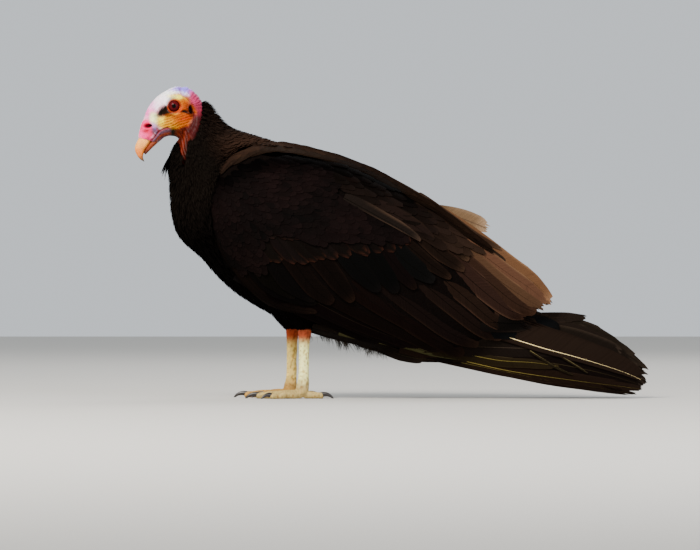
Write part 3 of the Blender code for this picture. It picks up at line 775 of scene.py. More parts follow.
# %% A node and its links in one call
def add_node(material, kind, links=(), **settings):
    """Adds a node; links maps an input's name or number to an output socket or a constant."""
    node = material.node_tree.nodes.new(kind)
    for setting, value in settings.items():
        setattr(node, setting, value)
    for socket, source in dict(links).items():
        if isinstance(source, bpy.types.NodeSocket):
            link(material, source, node.inputs[socket])
        else:
            node.inputs[socket].default_value = source
    return node


def link(material, source, socket):
    material.node_tree.links.new(source, socket)


def add_finish(name, **constants):
    """A new material and its Principled shader with constants set on the shader's own sockets."""
    material = bpy.data.materials.new(name)
    material.use_nodes = True
    shader = material.node_tree.nodes["Principled BSDF"]
    for socket, value in constants.items():
        shader.inputs[socket.replace("_", " ")].default_value = value
    return material, shader


def painted(material, name):
    """A colour attribute's node."""
    return add_node(material, "ShaderNodeAttribute", attribute_name=name)


def shade_base(material, shader, base, pattern, low, high):
    """Multiplies the base colour by a pattern that runs from low to high."""
    shade = add_node(material, "ShaderNodeMapRange", {"Value": pattern, "From Min": 0.3, "From Max": 0.7,
                                                      "To Min": low, "To Max": high})
    coloured = add_node(material, "ShaderNodeMix", {0: 1.0, 6: base, 7: shade.outputs[0]},
                        data_type="RGBA", blend_type="MULTIPLY")
    link(material, coloured.outputs[2], shader.inputs["Base Color"])


def roughen(material, shader, height, strength, distance):
    bump = add_node(material, "ShaderNodeBump",
                    {"Strength": strength, "Distance": distance, "Height": height})
    link(material, bump.outputs["Normal"], shader.inputs["Normal"])


def noise(material, scale, detail, **more):
    """A noise pattern in the model's own space."""
    place = add_node(material, "ShaderNodeTexCoord").outputs["Object"]
    pattern = add_node(material, "ShaderNodeTexNoise",
                       {"Vector": place, "Scale": scale, "Detail": detail, **more})
    return pattern.outputs["Fac"]


def settle(ob, finish, slot, *nodes):
    """Gives a piece its finish and its body, and hides the nodes that it stands for; the slot is not used."""
    ob.data.materials.append(finish)
    smooth_faces(ob.data)
    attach(ob, "root")
    if nodes:
        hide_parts(*nodes)


# %% Living skin: soft, faintly moist, with pores and hair-fine lines
skin_finish, shader = add_finish("bare_skin_moist", Roughness=0.42, IOR=1.4, Subsurface_Weight=0.06,
                                 Subsurface_Scale=0.0015, Specular_IOR_Level=0.0, Coat_Roughness=0.4,
                                 Coat_IOR=1.4)
shade_base(skin_finish, shader, painted(skin_finish, "skin_colour").outputs["Color"],
           noise(skin_finish, 320.0, 3.0), 0.82, 1.08)
naked = painted(skin_finish, "nakedness").outputs["Fac"]
moist = add_node(skin_finish, "ShaderNodeMapRange", {"Value": naked, "To Min": 0.0, "To Max": 0.15})
link(skin_finish, moist.outputs[0], shader.inputs["Coat Weight"])
place = add_node(skin_finish, "ShaderNodeTexCoord").outputs["Object"]
pores = add_node(skin_finish, "ShaderNodeTexVoronoi", {"Vector": place, "Scale": 1100.0},
                 feature="DISTANCE_TO_EDGE")
fine = noise(skin_finish, 700.0, 4.0, Roughness=0.6)
grain = add_node(skin_finish, "ShaderNodeMath", {0: pores.outputs["Distance"], 1: fine}, operation="ADD")
roughen(skin_finish, shader, grain.outputs[0], 0.35, 0.0004)
skin.data.materials.clear()
skin.data.polygons.foreach_set("material_index", np.zeros(len(skin.data.polygons), np.int32))
settle(skin, skin_finish, "bare_skin", "head", "neck", "trunk", "thigh_left", "thigh_right", "shank_left",
       "shank_right", "foot_left", "foot_right", "wing_left", "wing_right")
print("skin finished")

# %% [markdown]
# ## Eyes
#
# Each eye is a real ball whose middle bulges a little, as a cornea does. Colour sits on the ball by the
# distance from its axis: black pupil, red-brown iris with fine rays and a dark rim. A thin clear coat gives
# the wet highlight.

# %% The two eyeballs
EYE_RINGS, EYE_SIDES, CORNEA_RISE = 60, 96, 0.03
eye_finish, shader = add_finish("iris_and_pupil", Roughness=0.5, IOR=1.38, Specular_IOR_Level=0.03,
                                Coat_Weight=0.12, Coat_Roughness=0.05, Coat_IOR=1.38)
link(eye_finish, painted(eye_finish, "iris").outputs["Color"], shader.inputs["Base Color"])
polar = np.repeat(np.linspace(0.01, 2.2, EYE_RINGS), EYE_SIDES)
turn = evenly_round(EYE_RINGS, EYE_SIDES)[1]
far = EYE_RADIUS * (1 + CORNEA_RISE * ridge(polar, 0.62))
from_axis = EYE_RADIUS * np.sin(np.minimum(polar, np.pi / 2))
rays = 0.5 + 0.5 * np.sin(turn * 31 + 2 * np.sin(turn * 7)) * np.sin(turn * 17 + 1)
iris = to_linear("42060A") * (0.7 + 0.7 * rays[:, None])
iris = mixed(iris, "120303", smooth_step(4.7, 5.6, from_axis)[:, None])
iris = mixed(iris, "020101", smooth_step(2.35, 2.0, from_axis)[:, None])
for side_name, side in SIDES.items():
    points = np.stack([
        EYE_PLACE[0] + far * np.sin(polar) * np.cos(turn),
        side * (EYE_PLACE[1] + far * np.cos(polar)),
        EYE_PLACE[2] + far * np.sin(polar) * np.sin(turn)], 1)
    ball = loft("eyeball_" + side_name, points, EYE_RINGS, EYE_SIDES)
    store_colour(ball.data, "iris", iris)
    settle(ball, eye_finish, "eye", "eye_" + side_name)
print("eyes on both sides, radius", EYE_RADIUS, "mm")

# %% [markdown]
# ## The bill's horn
#
# The hooked part of the bill is horn, the same stuff as a claw: pale flesh orange at its root, darker and
# browner to the hook. The loft starts inside the cere, so the skin's rim overlaps it as it does on the
# bird.

# %% Upper and lower bill: name, stations, rings, sides, power, node, colours of root, middle and tip
UPPER_ROOT = (-259.6, 270.5, -246.6, 268.5, 4.8)
LOWER_ROOT = (-245.6, 268.2, -240.2, 264.0, 3.9)
LOWER_LIFT = 0.9             # the lower bill shuts a little inside the upper one
lower_stations = tuple((row[0] - LOWER_LIFT, row[1] + LOWER_LIFT * 0.6) + tuple(row[2:])
                       for row in (LOWER_ROOT,) + LOWER_BILL_STATIONS)
BILLS = (
    ("horn_upper", (UPPER_ROOT,) + UPPER_BILL_STATIONS, 90, 56, 2.3, "bill_upper",
     ("FFAC50", "F08026", "3E3420")),
    ("horn_lower", lower_stations, 50, 40, 2.2, "bill_lower", ("8A3C1E", "803416", "4A2010")),
)
horn_finish, shader = add_finish("horn_keratin_polished", Roughness=0.34, IOR=1.54, Specular_IOR_Level=0.25,
                                 Subsurface_Weight=0.1, Subsurface_Scale=0.0015)
growth = noise(horn_finish, 420.0, 4.0)
shade_base(horn_finish, shader, painted(horn_finish, "horn_colour").outputs["Color"], growth, 0.8, 1.1)
roughen(horn_finish, shader, growth, 0.3, 0.0003)
for name, stations, rings, sides, power, node, (root_hex, middle_hex, tip_hex) in BILLS:
    share, turn = evenly_round(rings, sides)
    ob = loft(name, round_form(stations, share, turn, power), rings, sides)
    colour = mixed(root_hex, middle_hex, smooth_step(0.3, 0.62, share)[:, None])
    colour = mixed(colour, tip_hex, smooth_step(0.62, 0.96, share)[:, None])
    if name == "horn_upper":
        edge = smooth_step(0.55, 0.9, -np.cos(turn)) * smooth_step(0.9, 0.4, share)
        colour = mixed(colour, "82360F", 0.7 * edge[:, None])
    store_colour(ob.data, "horn_colour", colour)
    settle(ob, horn_finish, "horn", node)
print("bill in two pieces")

# %% [markdown]
# ## Claws
#
# Vultures walk more than they grasp, so the claws are blunt, black and only gently curved. Fine noise and
# a brown tinge keep them from looking like plastic.

# %% Claws at the ends of the toes
CLAW_ROOT, CLAW_RINGS, CLAW_SIDES = 2.6, 22, 18
CLAW_BURIED = 2.5            # how much of a claw's length lies inside the toe
UP = np.array([0, 0, 1])
claw_finish, shader = add_finish("claw_keratin_worn", Base_Color=rgba("17130F"), Roughness=0.38, IOR=1.54)
wear = noise(claw_finish, 500.0, 4.0)
ramp = add_node(claw_finish, "ShaderNodeValToRGB", {"Fac": wear})
ramp.color_ramp.elements[0].color, ramp.color_ramp.elements[1].color = rgba("0B0908"), rgba("2E2520")
link(claw_finish, ramp.outputs["Color"], shader.inputs["Base Color"])
roughen(claw_finish, shader, wear, 0.4, 0.0003)


def claw_points(toe, x, y, side):
    angle = math.radians(toe[1])
    ahead_way = np.array([-math.cos(angle), math.sin(angle), 0.0])
    across = np.array([math.sin(angle), math.cos(angle), 0.0])
    middle = toe_line(toe, np.array([1.0]))[0][0] - ahead_way * CLAW_BURIED + 0.9 * UP
    step = (CLAW_LENGTH[toe[0]] + CLAW_BURIED) / (CLAW_RINGS - 1)
    turn = np.linspace(0, 2 * np.pi, CLAW_SIDES, endpoint=False)[:, None]
    rings = []
    for k in range(CLAW_RINGS):
        share = k / (CLAW_RINGS - 1)
        bend = math.radians(-24.0 + 84.0 * share)
        if k:
            middle = middle + (ahead_way * math.cos(bend) - UP * math.sin(bend)) * step
        half = CLAW_ROOT * (1.0 - share) ** 0.7 + 0.22
        up = ahead_way * math.sin(bend) + UP * math.cos(bend)
        rings.append(middle + across * half * 0.8 * np.sin(turn) + up * half * np.cos(turn))
    points = np.concatenate(rings)
    return np.stack([x + points[:, 0], y + side * points[:, 1], np.maximum(points[:, 2], 0.2)], 1)


for side_name, side in SIDES.items():
    for toe in TOES:
        points = claw_points(toe, FOOT_X[side_name], side * LEG_OUT, side)
        claw = loft(f"horny_claw_{side_name}_{toe[0]}", points, CLAW_RINGS, CLAW_SIDES)
        settle(claw, claw_finish, "claw", f"claw_{side_name}_{toe[0]}")
print("eight claws")

# %% [markdown]
# ## The form that feathers lie on
#
# Feathers lie on feathers, so they are combed over one smooth envelope: body and closed wings fused and
# softened. It is only a helper and is not part of the model. Its nearest point and its outward direction
# are all that a feather needs to follow the body.

# %% Envelope of body, wings and thighs
THIGH_COAT = ((128.0, -14.0, 27.0, 20.0), (110.0, -9.0, 25.0, 19.0), (94.0, -5.0, 21.0, 16.5),
              (82.0, -2.5, 15.5, 13.0), (73.0, -0.5, 9.6, 9.2), (69.0, 0.3, 7.6, 7.4))
BODY_STEPS, BLADE_STEPS = (110, 96), 40
envelope = loft("envelope", body_form(*evenly_round(*BODY_STEPS)), *BODY_STEPS)
across = np.linspace(0.0, 1.0, BLADE_STEPS)
for side in SIDES.values():
    for stations, count in ((WING_STATIONS, 70), (WINGTIP_STATIONS, 60)):
        rings = []
        for share in np.linspace(0, 1, count):
            face, back = (blade_form(stations, side, np.full(BLADE_STEPS, share), across, depth)
                          for depth in (0.0, 1.0))
            rings.append(np.concatenate([face, back[::-1]]))
        fuse(envelope, loft("blade", np.concatenate(rings), count, BLADE_STEPS * 2))
for side_name, side in SIDES.items():
    tube = upright_tube(THIGH_COAT, 30, 40, FOOT_X[side_name], side * LEG_OUT)
    fuse(envelope, loft("thigh", tube, 30, 40))
modified(envelope, REMESH={"mode": "VOXEL", "voxel_size": 2.5 * MM})
modified(envelope, SMOOTH={"factor": 0.6, "iterations": 14})
modified(envelope, TRIANGULATE={})
form_points, form_normals = vectors_of(envelope.data, "co") / MM, vectors_of(envelope.data, "normal")
form_faces = np.empty(len(envelope.data.polygons) * 3, np.int32)
envelope.data.polygons.foreach_get("vertices", form_faces)
form_faces = form_faces.reshape(-1, 3)
face_normals = unit(form_normals[form_faces].sum(1))
tree = BVHTree.FromPolygons(form_points.tolist(), form_faces.tolist())
bpy.data.objects.remove(envelope)
print("envelope:", len(form_faces), "faces")


def onto_form(points):
    """Nearest places on the envelope, their outward directions and the distances to them."""
    places, ways, gaps = np.empty_like(points), np.empty_like(points), np.empty(len(points))
    for k, point in enumerate(points):
        place, _, index, gap = tree.find_nearest(point)
        places[k], ways[k], gaps[k] = place, face_normals[index], gap
    return places, ways, gaps


# %% A relief of the bird's flank: how far out the envelope reaches, seen from the side
RELIEF_STEP = 2.0
RELIEF_X = np.arange(-216.0, 290.0, RELIEF_STEP)
RELIEF_Z = np.arange(-8.0, 292.0, RELIEF_STEP)


def neighbours(grid, **padding):
    """The four grids shifted by one place: left, right, below and above."""
    padded = np.pad(grid, 1, **padding)
    return padded[:-2, 1:-1], padded[2:, 1:-1], padded[1:-1, :-2], padded[1:-1, 2:]


relief = np.full((len(RELIEF_X), len(RELIEF_Z)), np.nan)
for i, x in enumerate(RELIEF_X):
    for j, z in enumerate(RELIEF_Z):
        hit = tree.ray_cast((x, -300.0, z), (0, 1, 0))[0]
        if hit is not None and hit[1] < 0:
            relief[i, j] = -hit[1]
    # The last places before the upper outline fall away steeply; long feathers ride better without them.
    found = np.flatnonzero(~np.isnan(relief[i]))
    if len(found) > 12 and x > 10:
        relief[i, found[-2]:] = np.nan
for _ in range(60):          # grow the relief outwards over the empty places
    near = np.stack(neighbours(relief, constant_values=np.nan))
    known = (~np.isnan(near)).sum(0)
    mean = np.nansum(near, axis=0) / np.maximum(known, 1)
    relief = np.where(np.isnan(relief) & (known > 0), mean, relief)
relief = np.nan_to_num(relief, nan=4.0)
for _ in range(12):          # soften it
    left, right, below, above = neighbours(relief, mode="edge")
    relief = (relief * 2 + left + right + below + above) / 6
print("flank relief up to", round(float(relief.max()), 1), "mm")


def flank_out(x, z):
    """How far out from the middle plane the flank is at each place of the side view."""
    i = np.clip((x - RELIEF_X[0]) / RELIEF_STEP, 0, len(RELIEF_X) - 1.001)
    j = np.clip((z - RELIEF_Z[0]) / RELIEF_STEP, 0, len(RELIEF_Z) - 1.001)
    a, b = i.astype(int), j.astype(int)
    u, v = i - a, j - b
    return (relief[a, b] * (1 - u) * (1 - v) + relief[a + 1, b] * u * (1 - v)
            + relief[a, b + 1] * (1 - u) * v + relief[a + 1, b + 1] * u * v)


# %% [markdown]
# ## One feather, thousands of times
#
# A feather is a small grid: rows from root to tip, columns from edge to edge. Its midline follows the
# envelope, its root starts under the skin's level and its tip lies over the next feathers' roots, so a
# field of them overlaps like roof tiles. Narrow tips, rounded ends, ragged edges and a slight roll all
# come from a few numbers. Every grid point keeps its place along and across the feather for the colours:
# t runs from 0 at the root to 1 at the tip, s from -1 at one edge to 1 at the other.

# %% Combing midlines over the form
LEAVE_GAP = 4.0              # a feather this far off the form goes straight on instead of bending back to it


def comb(roots, ways, lengths, rows):
    """Midlines of feathers that start at roots and follow the form; rows points each."""
    place, out, _ = onto_form(roots)
    path, normals = np.empty((len(roots), rows, 3)), np.empty((len(roots), rows, 3))
    way = ways
    for k in range(rows):
        path[:, k], normals[:, k] = place, out
        way = unit(way - (way * out).sum(1, keepdims=True) * out)
        if k < rows - 1:
            stepped = place + way * (lengths / (rows - 1))[:, None]
            place, out_new, gap = onto_form(stepped)
            leave = gap[:, None] > LEAVE_GAP
            place = np.where(leave, stepped, place)
            out = np.where(leave, out, out_new)
    return path, normals


def read_rows(reach, *tables):
    """Values of tables (feathers, rows, ...) at shares of their length, and the row before each share."""
    last = tables[0].shape[1] - 1
    place = np.clip(reach, 0, 1) * last
    k = np.minimum(place.astype(int), last - 1)
    f = (place - k)[..., None]
    pick = np.arange(len(reach))[:, None, None]
    return *(table[pick, k] * (1 - f) + table[pick, k + 1] * f for table in tables), (pick, k)


def steps_between(path, before):
    pick, k = before
    return unit(path[pick, k + 1] - path[pick, k])


def vane_profile(t, root_share=0.25, widest=0.55, narrowing=0.25):
    """A vane's width along its length, as a share of its greatest width."""
    grow = np.clip(t / widest, 0, 1)
    rise = root_share + (1 - root_share) * np.sin(grow * np.pi / 2)
    return rise * (1 - narrowing * smooth_step(widest, 1.0, t))


def each(value, count):
    """One number, or one for each feather, as a column that grids can use."""
    return np.broadcast_to(np.asarray(value, float).reshape(-1, 1, 1), (count, 1, 1))


def build_vanes(path, normals, widths, columns, root_height, tip_height, tip_round, ragged, camber, roll):
    """Grids of points for feathers with given midlines, all at once."""
    count, rows = path.shape[:2]
    t = np.linspace(0, 1, rows) ** 0.9
    s = np.linspace(-1, 1, columns)
    cut = 1 - tip_round * np.abs(s)[None, None, :] ** 2.4
    cut = cut - ragged * chance.random((count, 1, columns))
    reach = t[None, :, None] * cut
    middle, out, before = read_rows(reach, path, normals)
    out = unit(out)
    aside = unit(np.cross(steps_between(path, before), out))
    half = 0.5 * widths[:, None, None] * vane_profile(t)[None, :, None]
    offset = half * s
    low = each(root_height, count)
    height = low + (each(tip_height, count) - low) * reach - camber * half * s ** 2 + roll * offset
    points = middle + aside * offset[..., None] + out * height[..., None]
    return points, reach, np.broadcast_to(s, reach.shape)


# %% [markdown]
# ## Keeping the coat in pieces
#
# Feathers are joined into a few large pieces. Each point carries a colour and its place on its feather in
# millimetres, which the feather finish turns into fine barbs. The UV map holds one small patch for each
# feather, three thousandths across, at the feather's root on an unwrap of the body: share of its length
# against the angle round it, and for the wings the place in the side view.

# %% Collecting feathers into pieces
coat = {}
WARMTH = np.array([1.0, 0.94, 0.88])      # old plumage is bleached a little towards brown
PATCH = 0.003
RING_COUNT = 60


def unwrap_body(points):
    """Share along the body and angle round it, from the nearest ring of the body's own stations."""
    middles = along(BODY_STATIONS, np.linspace(0, 1, RING_COUNT))
    centre = np.stack([(middles[:, 0] + middles[:, 2]) / 2, (middles[:, 1] + middles[:, 3]) / 2], 1)
    gap = np.hypot(points[:, None, 0] - centre[None, :, 0], points[:, None, 2] - centre[None, :, 1])
    nearest = gap.argmin(1)
    top = middles[nearest, :2] - centre[nearest]
    up = ((points[:, [0, 2]] - centre[nearest]) * top).sum(1) / np.hypot(top[:, 0], top[:, 1])
    angle = np.arctan2(points[:, 1], up)
    return np.stack([0.01 + 0.97 * nearest / (RING_COUNT - 1) + 0.008 * ((angle * 7) % 1),
                     0.01 + 0.97 * (angle + np.pi) / 2 / np.pi], 1)


def unwrap_flank(points):
    """Place in the side view, with the left flank in the lower half of the map and the right in the upper."""
    u = 0.01 + 0.97 * np.clip((points[:, 0] + 216) / 500, 0, 1)
    v = 0.01 + 0.47 * np.clip((points[:, 2] + 8) / 300, 0, 1)
    return np.stack([u, np.where(points[:, 1] < 0, v, v + 0.5)], 1)


def keep(piece, points, t, s, colour, widths, lengths, unwrap=unwrap_body, patch=PATCH):
    """Adds feathers to a piece: points (feathers, rows, columns, 3) and colours of the same shape."""
    count, rows, columns = points.shape[:3]
    widths, lengths = each(widths, count), each(lengths, count)
    roots = unwrap(points[:, 0, columns // 2])
    uv = roots[:, None, None, :] + np.stack([(t - 0.5) * patch, s * 0.5 * patch], -1)
    vane = np.stack([s * widths / 2, t * lengths, np.broadcast_to(chance.random((count, 1, 1)), t.shape)], -1)
    faces = grid_faces(rows, columns)[None] + (np.arange(count) * rows * columns)[:, None, None]
    coat.setdefault(piece, []).append((
        points.reshape(-1, 3), faces.reshape(-1, 4), np.clip(colour * WARMTH, 0, 1).reshape(-1, 3),
        vane.reshape(-1, 3), uv.reshape(-1, 2)))


def shaded(base, t, s, edge=None, tip=None, root=None, shaft=None, vary=0.16, edge_share=0.8, tip_share=0.82):
    """Colour of each grid point: a base for each feather, with its own edge, tip, root and shaft if given."""
    count = len(t)
    colour = np.broadcast_to(base.reshape(-1, 1, 1, 3), (count, 1, 1, 3)) * np.ones(t.shape + (1,))
    colour = colour * (1 + vary * chance.normal(size=(count, 1, 1, 1)))
    for own, share in (
            (root, smooth_step(0.45, 0.0, t)),
            (edge, smooth_step(edge_share - 0.25, edge_share + 0.2, np.abs(s)) * smooth_step(0.2, 0.6, t)),
            (tip, smooth_step(tip_share - 0.12, tip_share + 0.12, t)),
            (shaft, (np.abs(s) < 0.05) * 1.0)):
        if own is not None:
            colour = mixed(colour, own.reshape(-1, 1, 1, 3), share[..., None])
    return colour


# %% [markdown]
# ## Small feathers of neck, breast, back and belly
#
# The ruff and breast have narrow, hair-like feathers whose barbs hang apart, so each is a fan of thin
# tapering strands. Further back they grow broader and tighter until, on the mantle, they are round vanes
# with a brown edge. Size, colour and looseness all follow from how far down the body a feather grows.

# %% Roots on the body: staggered rings
LENGTH_SHARE, WIDTH_SHARE = 0.32, 0.33     # spaces along and round the body, as shares of a feather's length


def feather_length(share):
    return 6.5 + 5.0 * smooth_step(0.05, 0.3, share) + 6.0 * smooth_step(0.3, 0.55, share) \
        + 5.0 * smooth_step(0.6, 0.85, share)


def run_of(points):
    return np.linalg.norm(np.diff(points, axis=0), axis=1).sum()


def body_roots(first, last):
    """Roots in rings from one share of the body to another, spaced by the feathers' own size."""
    shares, angles = [], []
    share, row = first, 0
    while share < last:
        around = run_of(body_form(np.full(160, share), np.linspace(0, 2 * np.pi, 160)))
        length = feather_length(share)
        number = max(int(around / (length * WIDTH_SHARE)), 8)
        angle = (np.arange(number) + 0.5 * (row % 2)) / number * 2 * np.pi
        shares.append(np.full(number, share) + chance.normal(0, 0.0015, number))
        angles.append(angle + chance.normal(0, 0.16 * 2 * np.pi / number, number))
        ahead = body_form(np.array([share, share + 0.01]), np.full(2, np.pi / 2))
        share += 0.01 * length * LENGTH_SHARE / np.linalg.norm(ahead[1] - ahead[0])
        row += 1
    return np.concatenate(shares), np.concatenate(angles) % (2 * np.pi)


def strands(path, normals, widths, number, rows, spread, thick, root_height, tip_height):
    """Each feather as a fan of tapering strands; gives grids two columns wide and each one's feather."""
    count = len(path)
    t = np.linspace(0, 1, rows)
    lean = np.linspace(-1, 1, number)[None, :] + chance.normal(0, 0.12, (count, number))
    reach = t[None, None, :] * (1 - 0.22 * lean[..., None] ** 2 - 0.18 * chance.random((count, number, 1)))
    middle, before = read_rows(reach, path)
    out = unit(normals[before])
    aside = unit(np.cross(steps_between(path, before), out))
    offset = lean[..., None] * widths[:, None, None] / 2 * (0.25 + 0.75 * t ** spread)
    height = root_height + (tip_height - root_height) * reach + chance.normal(0, 0.25, (count, number, 1)) * t
    blade = thick * widths[:, None, None] * (1 - 0.86 * t ** 1.6) * (0.5 + 0.5 * np.minimum(t * 4, 1))
    tilt = chance.normal(0, 0.35, (count, number, 1))
    both = np.array([-0.5, 0.5])
    points = (middle + aside * offset[..., None] + out * height[..., None])[..., None, :]
    slant = aside[..., None, :] + out[..., None, :] * tilt[..., None, None]
    points = points + slant * (blade[..., None] * both)[..., None]
    t_all = np.broadcast_to(reach[..., None], points.shape[:-1])
    s_all = np.broadcast_to(lean[..., None, None] * 0.8 + both * 0.2, points.shape[:-1])
    shape = (count * number, rows, 2)
    owner = np.repeat(np.arange(count), number)
    return points.reshape(shape + (3,)), t_all.reshape(shape), s_all.reshape(shape), owner


# %% Feathers over the whole body, loose in front and below, firm on the mantle
shares, angles = body_roots(0.004, 0.97)
roots = body_form(shares, angles)
stays = (onto_form(roots)[2] < 3.2) & (bareness(roots) < 0.4)
shares, angles, roots = shares[stays], angles[stays], roots[stays]
on_top = np.cos(angles)
print("body feathers:", len(roots))

# Sooty neck and breast, brown mantle and back, black belly.
base = np.tile(to_linear("0E0B09"), (len(roots), 1))
for share, hex_colour in (
        (smooth_step(0.1, 0.7, on_top) * smooth_step(0.14, 0.3, shares), "261A14"),
        (smooth_step(0.2, 0.9, on_top) * smooth_step(0.0, 0.1, shares) * smooth_step(0.3, 0.15, shares),
         "17100D"),
        (smooth_step(0.0, -0.6, on_top) * smooth_step(0.3, 0.5, shares), "050404"),
        (smooth_step(0.45, 0.7, shares) * smooth_step(0.0, 0.6, on_top), "241B16")):
    base = mixed(base, hex_colour, share[:, None])
ways = unit(body_form(shares + 0.004, angles) - body_form(shares - 0.004, angles))
nape = ridge(shares - 0.07, 0.08) * smooth_step(-0.2, 0.7, on_top)
loose = (shares < 0.42) & (on_top < 0.55) | (shares < 0.22) | (on_top < -0.5)
for name, group in (("ruff_and_breast_feathers", loose), ("mantle_feathers", ~loose)):
    lengths = feather_length(shares[group]) * chance.uniform(0.85, 1.15, group.sum())
    combed = unit(ways[group] + chance.normal(0, 0.10, (group.sum(), 3)))
    path, normals = comb(roots[group], combed, lengths, 6)
    own = base[group]
    if name.startswith("ruff"):
        widths = lengths * 0.55
        lift = (0.9 + 2.5 * nape[group])[:, None, None]
        points, t, s, owner = strands(path, normals, widths, 6, 4, 0.6, 0.27, -2.6, lift)
        own, widths, lengths = own[owner], widths[owner], lengths[owner]
        colour = shaded(own, t, s, root=own * 0.5, tip=own * 1.25, vary=0.12)
    else:
        widths = lengths * 0.66
        points, t, s = build_vanes(path, normals, widths, 7, -1.8, 1.4, 0.35, 0.10, 0.16, 0.05)
        colour = shaded(own, t, s, edge=own * 1.3, tip=own * 1.25, root=own * 0.5)
    keep(name, points, t, s, colour, widths, lengths)

# %% Thighs: short soft feathers down to the heel
THIGH_TRIES = 1500
for side_name, side in SIDES.items():
    height = chance.uniform(0.02, 0.97, THIGH_TRIES)
    turn = chance.uniform(0, 2 * np.pi, THIGH_TRIES)
    z, ahead, fore, half = along(THIGH_COAT, height).T
    x = FOOT_X[side_name] + ahead + fore * np.cos(turn)
    roots = np.stack([x, side * LEG_OUT + half * np.sin(turn), z], 1)
    place, _, gap = onto_form(roots)
    roots = roots[(gap < 2.5) & (place[:, 2] < 126)]
    ways = np.tile((0.22, 0.0, -1.0), (len(roots), 1)) + chance.normal(0, 0.10, (len(roots), 3))
    lengths = (7 + 7 * smooth_step(74, 105, roots[:, 2])) * chance.uniform(0.85, 1.15, len(roots))
    path, normals = comb(roots, unit(ways), lengths, 5)
    widths = lengths * 0.55
    points, t, s, owner = strands(path, normals, widths, 6, 4, 0.6, 0.27, -2.6, 0.6)
    own = np.tile(to_linear("080605"), (len(owner), 1))
    colour = shaded(own, t, s, tip=own * 1.3, vary=0.15)
    keep("thigh_feathers", points, t, s, colour, widths[owner], lengths[owner])

# %% The loose tuft that hangs before the throat
def free_paths(seeds, ways, lengths):
    """Straight midlines of six points from the form below each seed, and the form's outward directions."""
    place, out, _ = onto_form(seeds)
    return place[:, None] + ways[:, None] * (np.linspace(0, 1, 6) * lengths[:, None])[..., None], out


number = 150
height = chance.uniform(0, 1, number)
seeds = np.stack([-226.0 - 2.0 * (1 - height), chance.uniform(-9, 9, number), 247 + 21 * height], 1)
lengths = chance.uniform(17, 27, number)
ways = unit(np.stack([-0.30 + 0.15 * chance.normal(size=number), 0.03 * seeds[:, 1], -np.ones(number)], 1))
path, _ = free_paths(seeds, ways, lengths)
path[..., 0] += 5.5 * np.linspace(0, 1, 6) ** 2 * chance.uniform(0.2, 1.2, (number, 1))
forwards = np.broadcast_to(np.array([-1.0, 0.0, 0.0]), path.shape)
points, t, s, owner = strands(path, forwards, lengths * 0.32, 7, 6, 0.8, 0.2, -1.0, 0.6)
own = np.tile(to_linear("0C0908"), (len(owner), 1))
keep("ruff_and_breast_feathers", points, t, s, shaded(own, t, s, tip=own * 1.4, vary=0.12),
     lengths[owner] * 0.32, lengths[owner])
print("throat tuft:", number, "feathers")

# %% Pale down behind the legs, where the belly feathers end
number = 130
seeds = np.stack([chance.uniform(*reach, number) for reach in ((-92, -8), (-26, 26), (30, 60))], 1)
lengths = chance.uniform(9, 17, number)
ways = unit(np.stack([middle + spread * chance.normal(size=number)
                      for middle, spread in ((0.55, 0.3), (0.0, 0.25), (-0.8, 0.2))], 1))
path, out = free_paths(seeds, ways, lengths)
outwards = np.broadcast_to(out[:, None], path.shape)
points, t, s, owner = strands(path, outwards, lengths * 0.6, 6, 6, 0.9, 0.08, -2.0, 0.0)
pale = (to_linear("3E3933") * chance.uniform(0.4, 1.0, (number, 1)))[owner]
keep("belly_down_wisps", points, t, s, shaded(pale, t, s, root=to_linear("060504"), vary=0.2),
     lengths[owner] * 0.6, lengths[owner])
print("down wisps:", number)

# %% [markdown]
# ## Wings: rows of coverts, then the long feathers
#
# On a closed wing everything lies like louvres. Long flight feathers make the lowest layer, and three
# ranks of coverts hide their roots: greater, median and lesser. Scapulars cover the join with the back.
# Ranks are laid out in the side view, where a wing is nearly flat, and take their depth from the flank's
# relief. Each feather's upper edge is tucked in and its lower edge lies over the next one.

# %% Feathers laid out in the side view
LAY_DEPTH = -3.0             # feathers start three millimetres inside the outline


def flank_vanes(lines, up_width, low_width, side, columns, root_height, tip_height, tip_round=0.25,
                ragged=0.03, louvre=0.5, camber=0.5, widest=0.5, root_share=0.5, narrowing=0.15, notch=0.0):
    """Grids for feathers with midlines (feathers, rows, 2) given as x, z; returns points, t and s."""
    count, rows = lines.shape[:2]
    t = np.linspace(0, 1, rows)
    t = t + 0.12 * np.sin(np.pi * t)          # rows closer together near the tip
    s = np.linspace(-1, 1, columns)
    cut = 1 - tip_round * np.abs(s)[None, None, :] ** 2.6 - ragged * chance.random((count, 1, columns))
    if notch:
        notched = chance.random((count, 1, columns)) < notch
        cut = cut - notched * chance.uniform(0.02, 0.07, (count, 1, columns))
    reach = np.clip(t[None, :, None] * cut, 0, 1)
    middle, slope, _ = read_rows(reach, lines, np.gradient(lines, axis=1))
    slope = unit(slope)
    upwards = np.stack([-slope[..., 1], slope[..., 0]], -1)
    upwards = np.where(upwards[..., 1:] < 0, -upwards, upwards)
    half = np.where(s > 0, up_width[:, None, None], low_width[:, None, None])
    half = half * vane_profile(t, root_share, widest, narrowing)[None, :, None]
    flat = middle + upwards * (half * s)[..., None]
    lay = flank_out(flat[..., 0], flat[..., 1]) * 0.75 + flank_out(middle[..., 0], middle[..., 1]) * 0.25
    low = each(root_height, count)
    height = LAY_DEPTH + low + (each(tip_height, count) - low) * reach - louvre * s
    height = height - camber * s ** 2 * np.minimum(half / 8, 1.2)
    points = np.stack([flat[..., 0], side * np.maximum(lay + height, 0.8), flat[..., 1]], -1)
    return points, reach, np.broadcast_to(s, reach.shape)


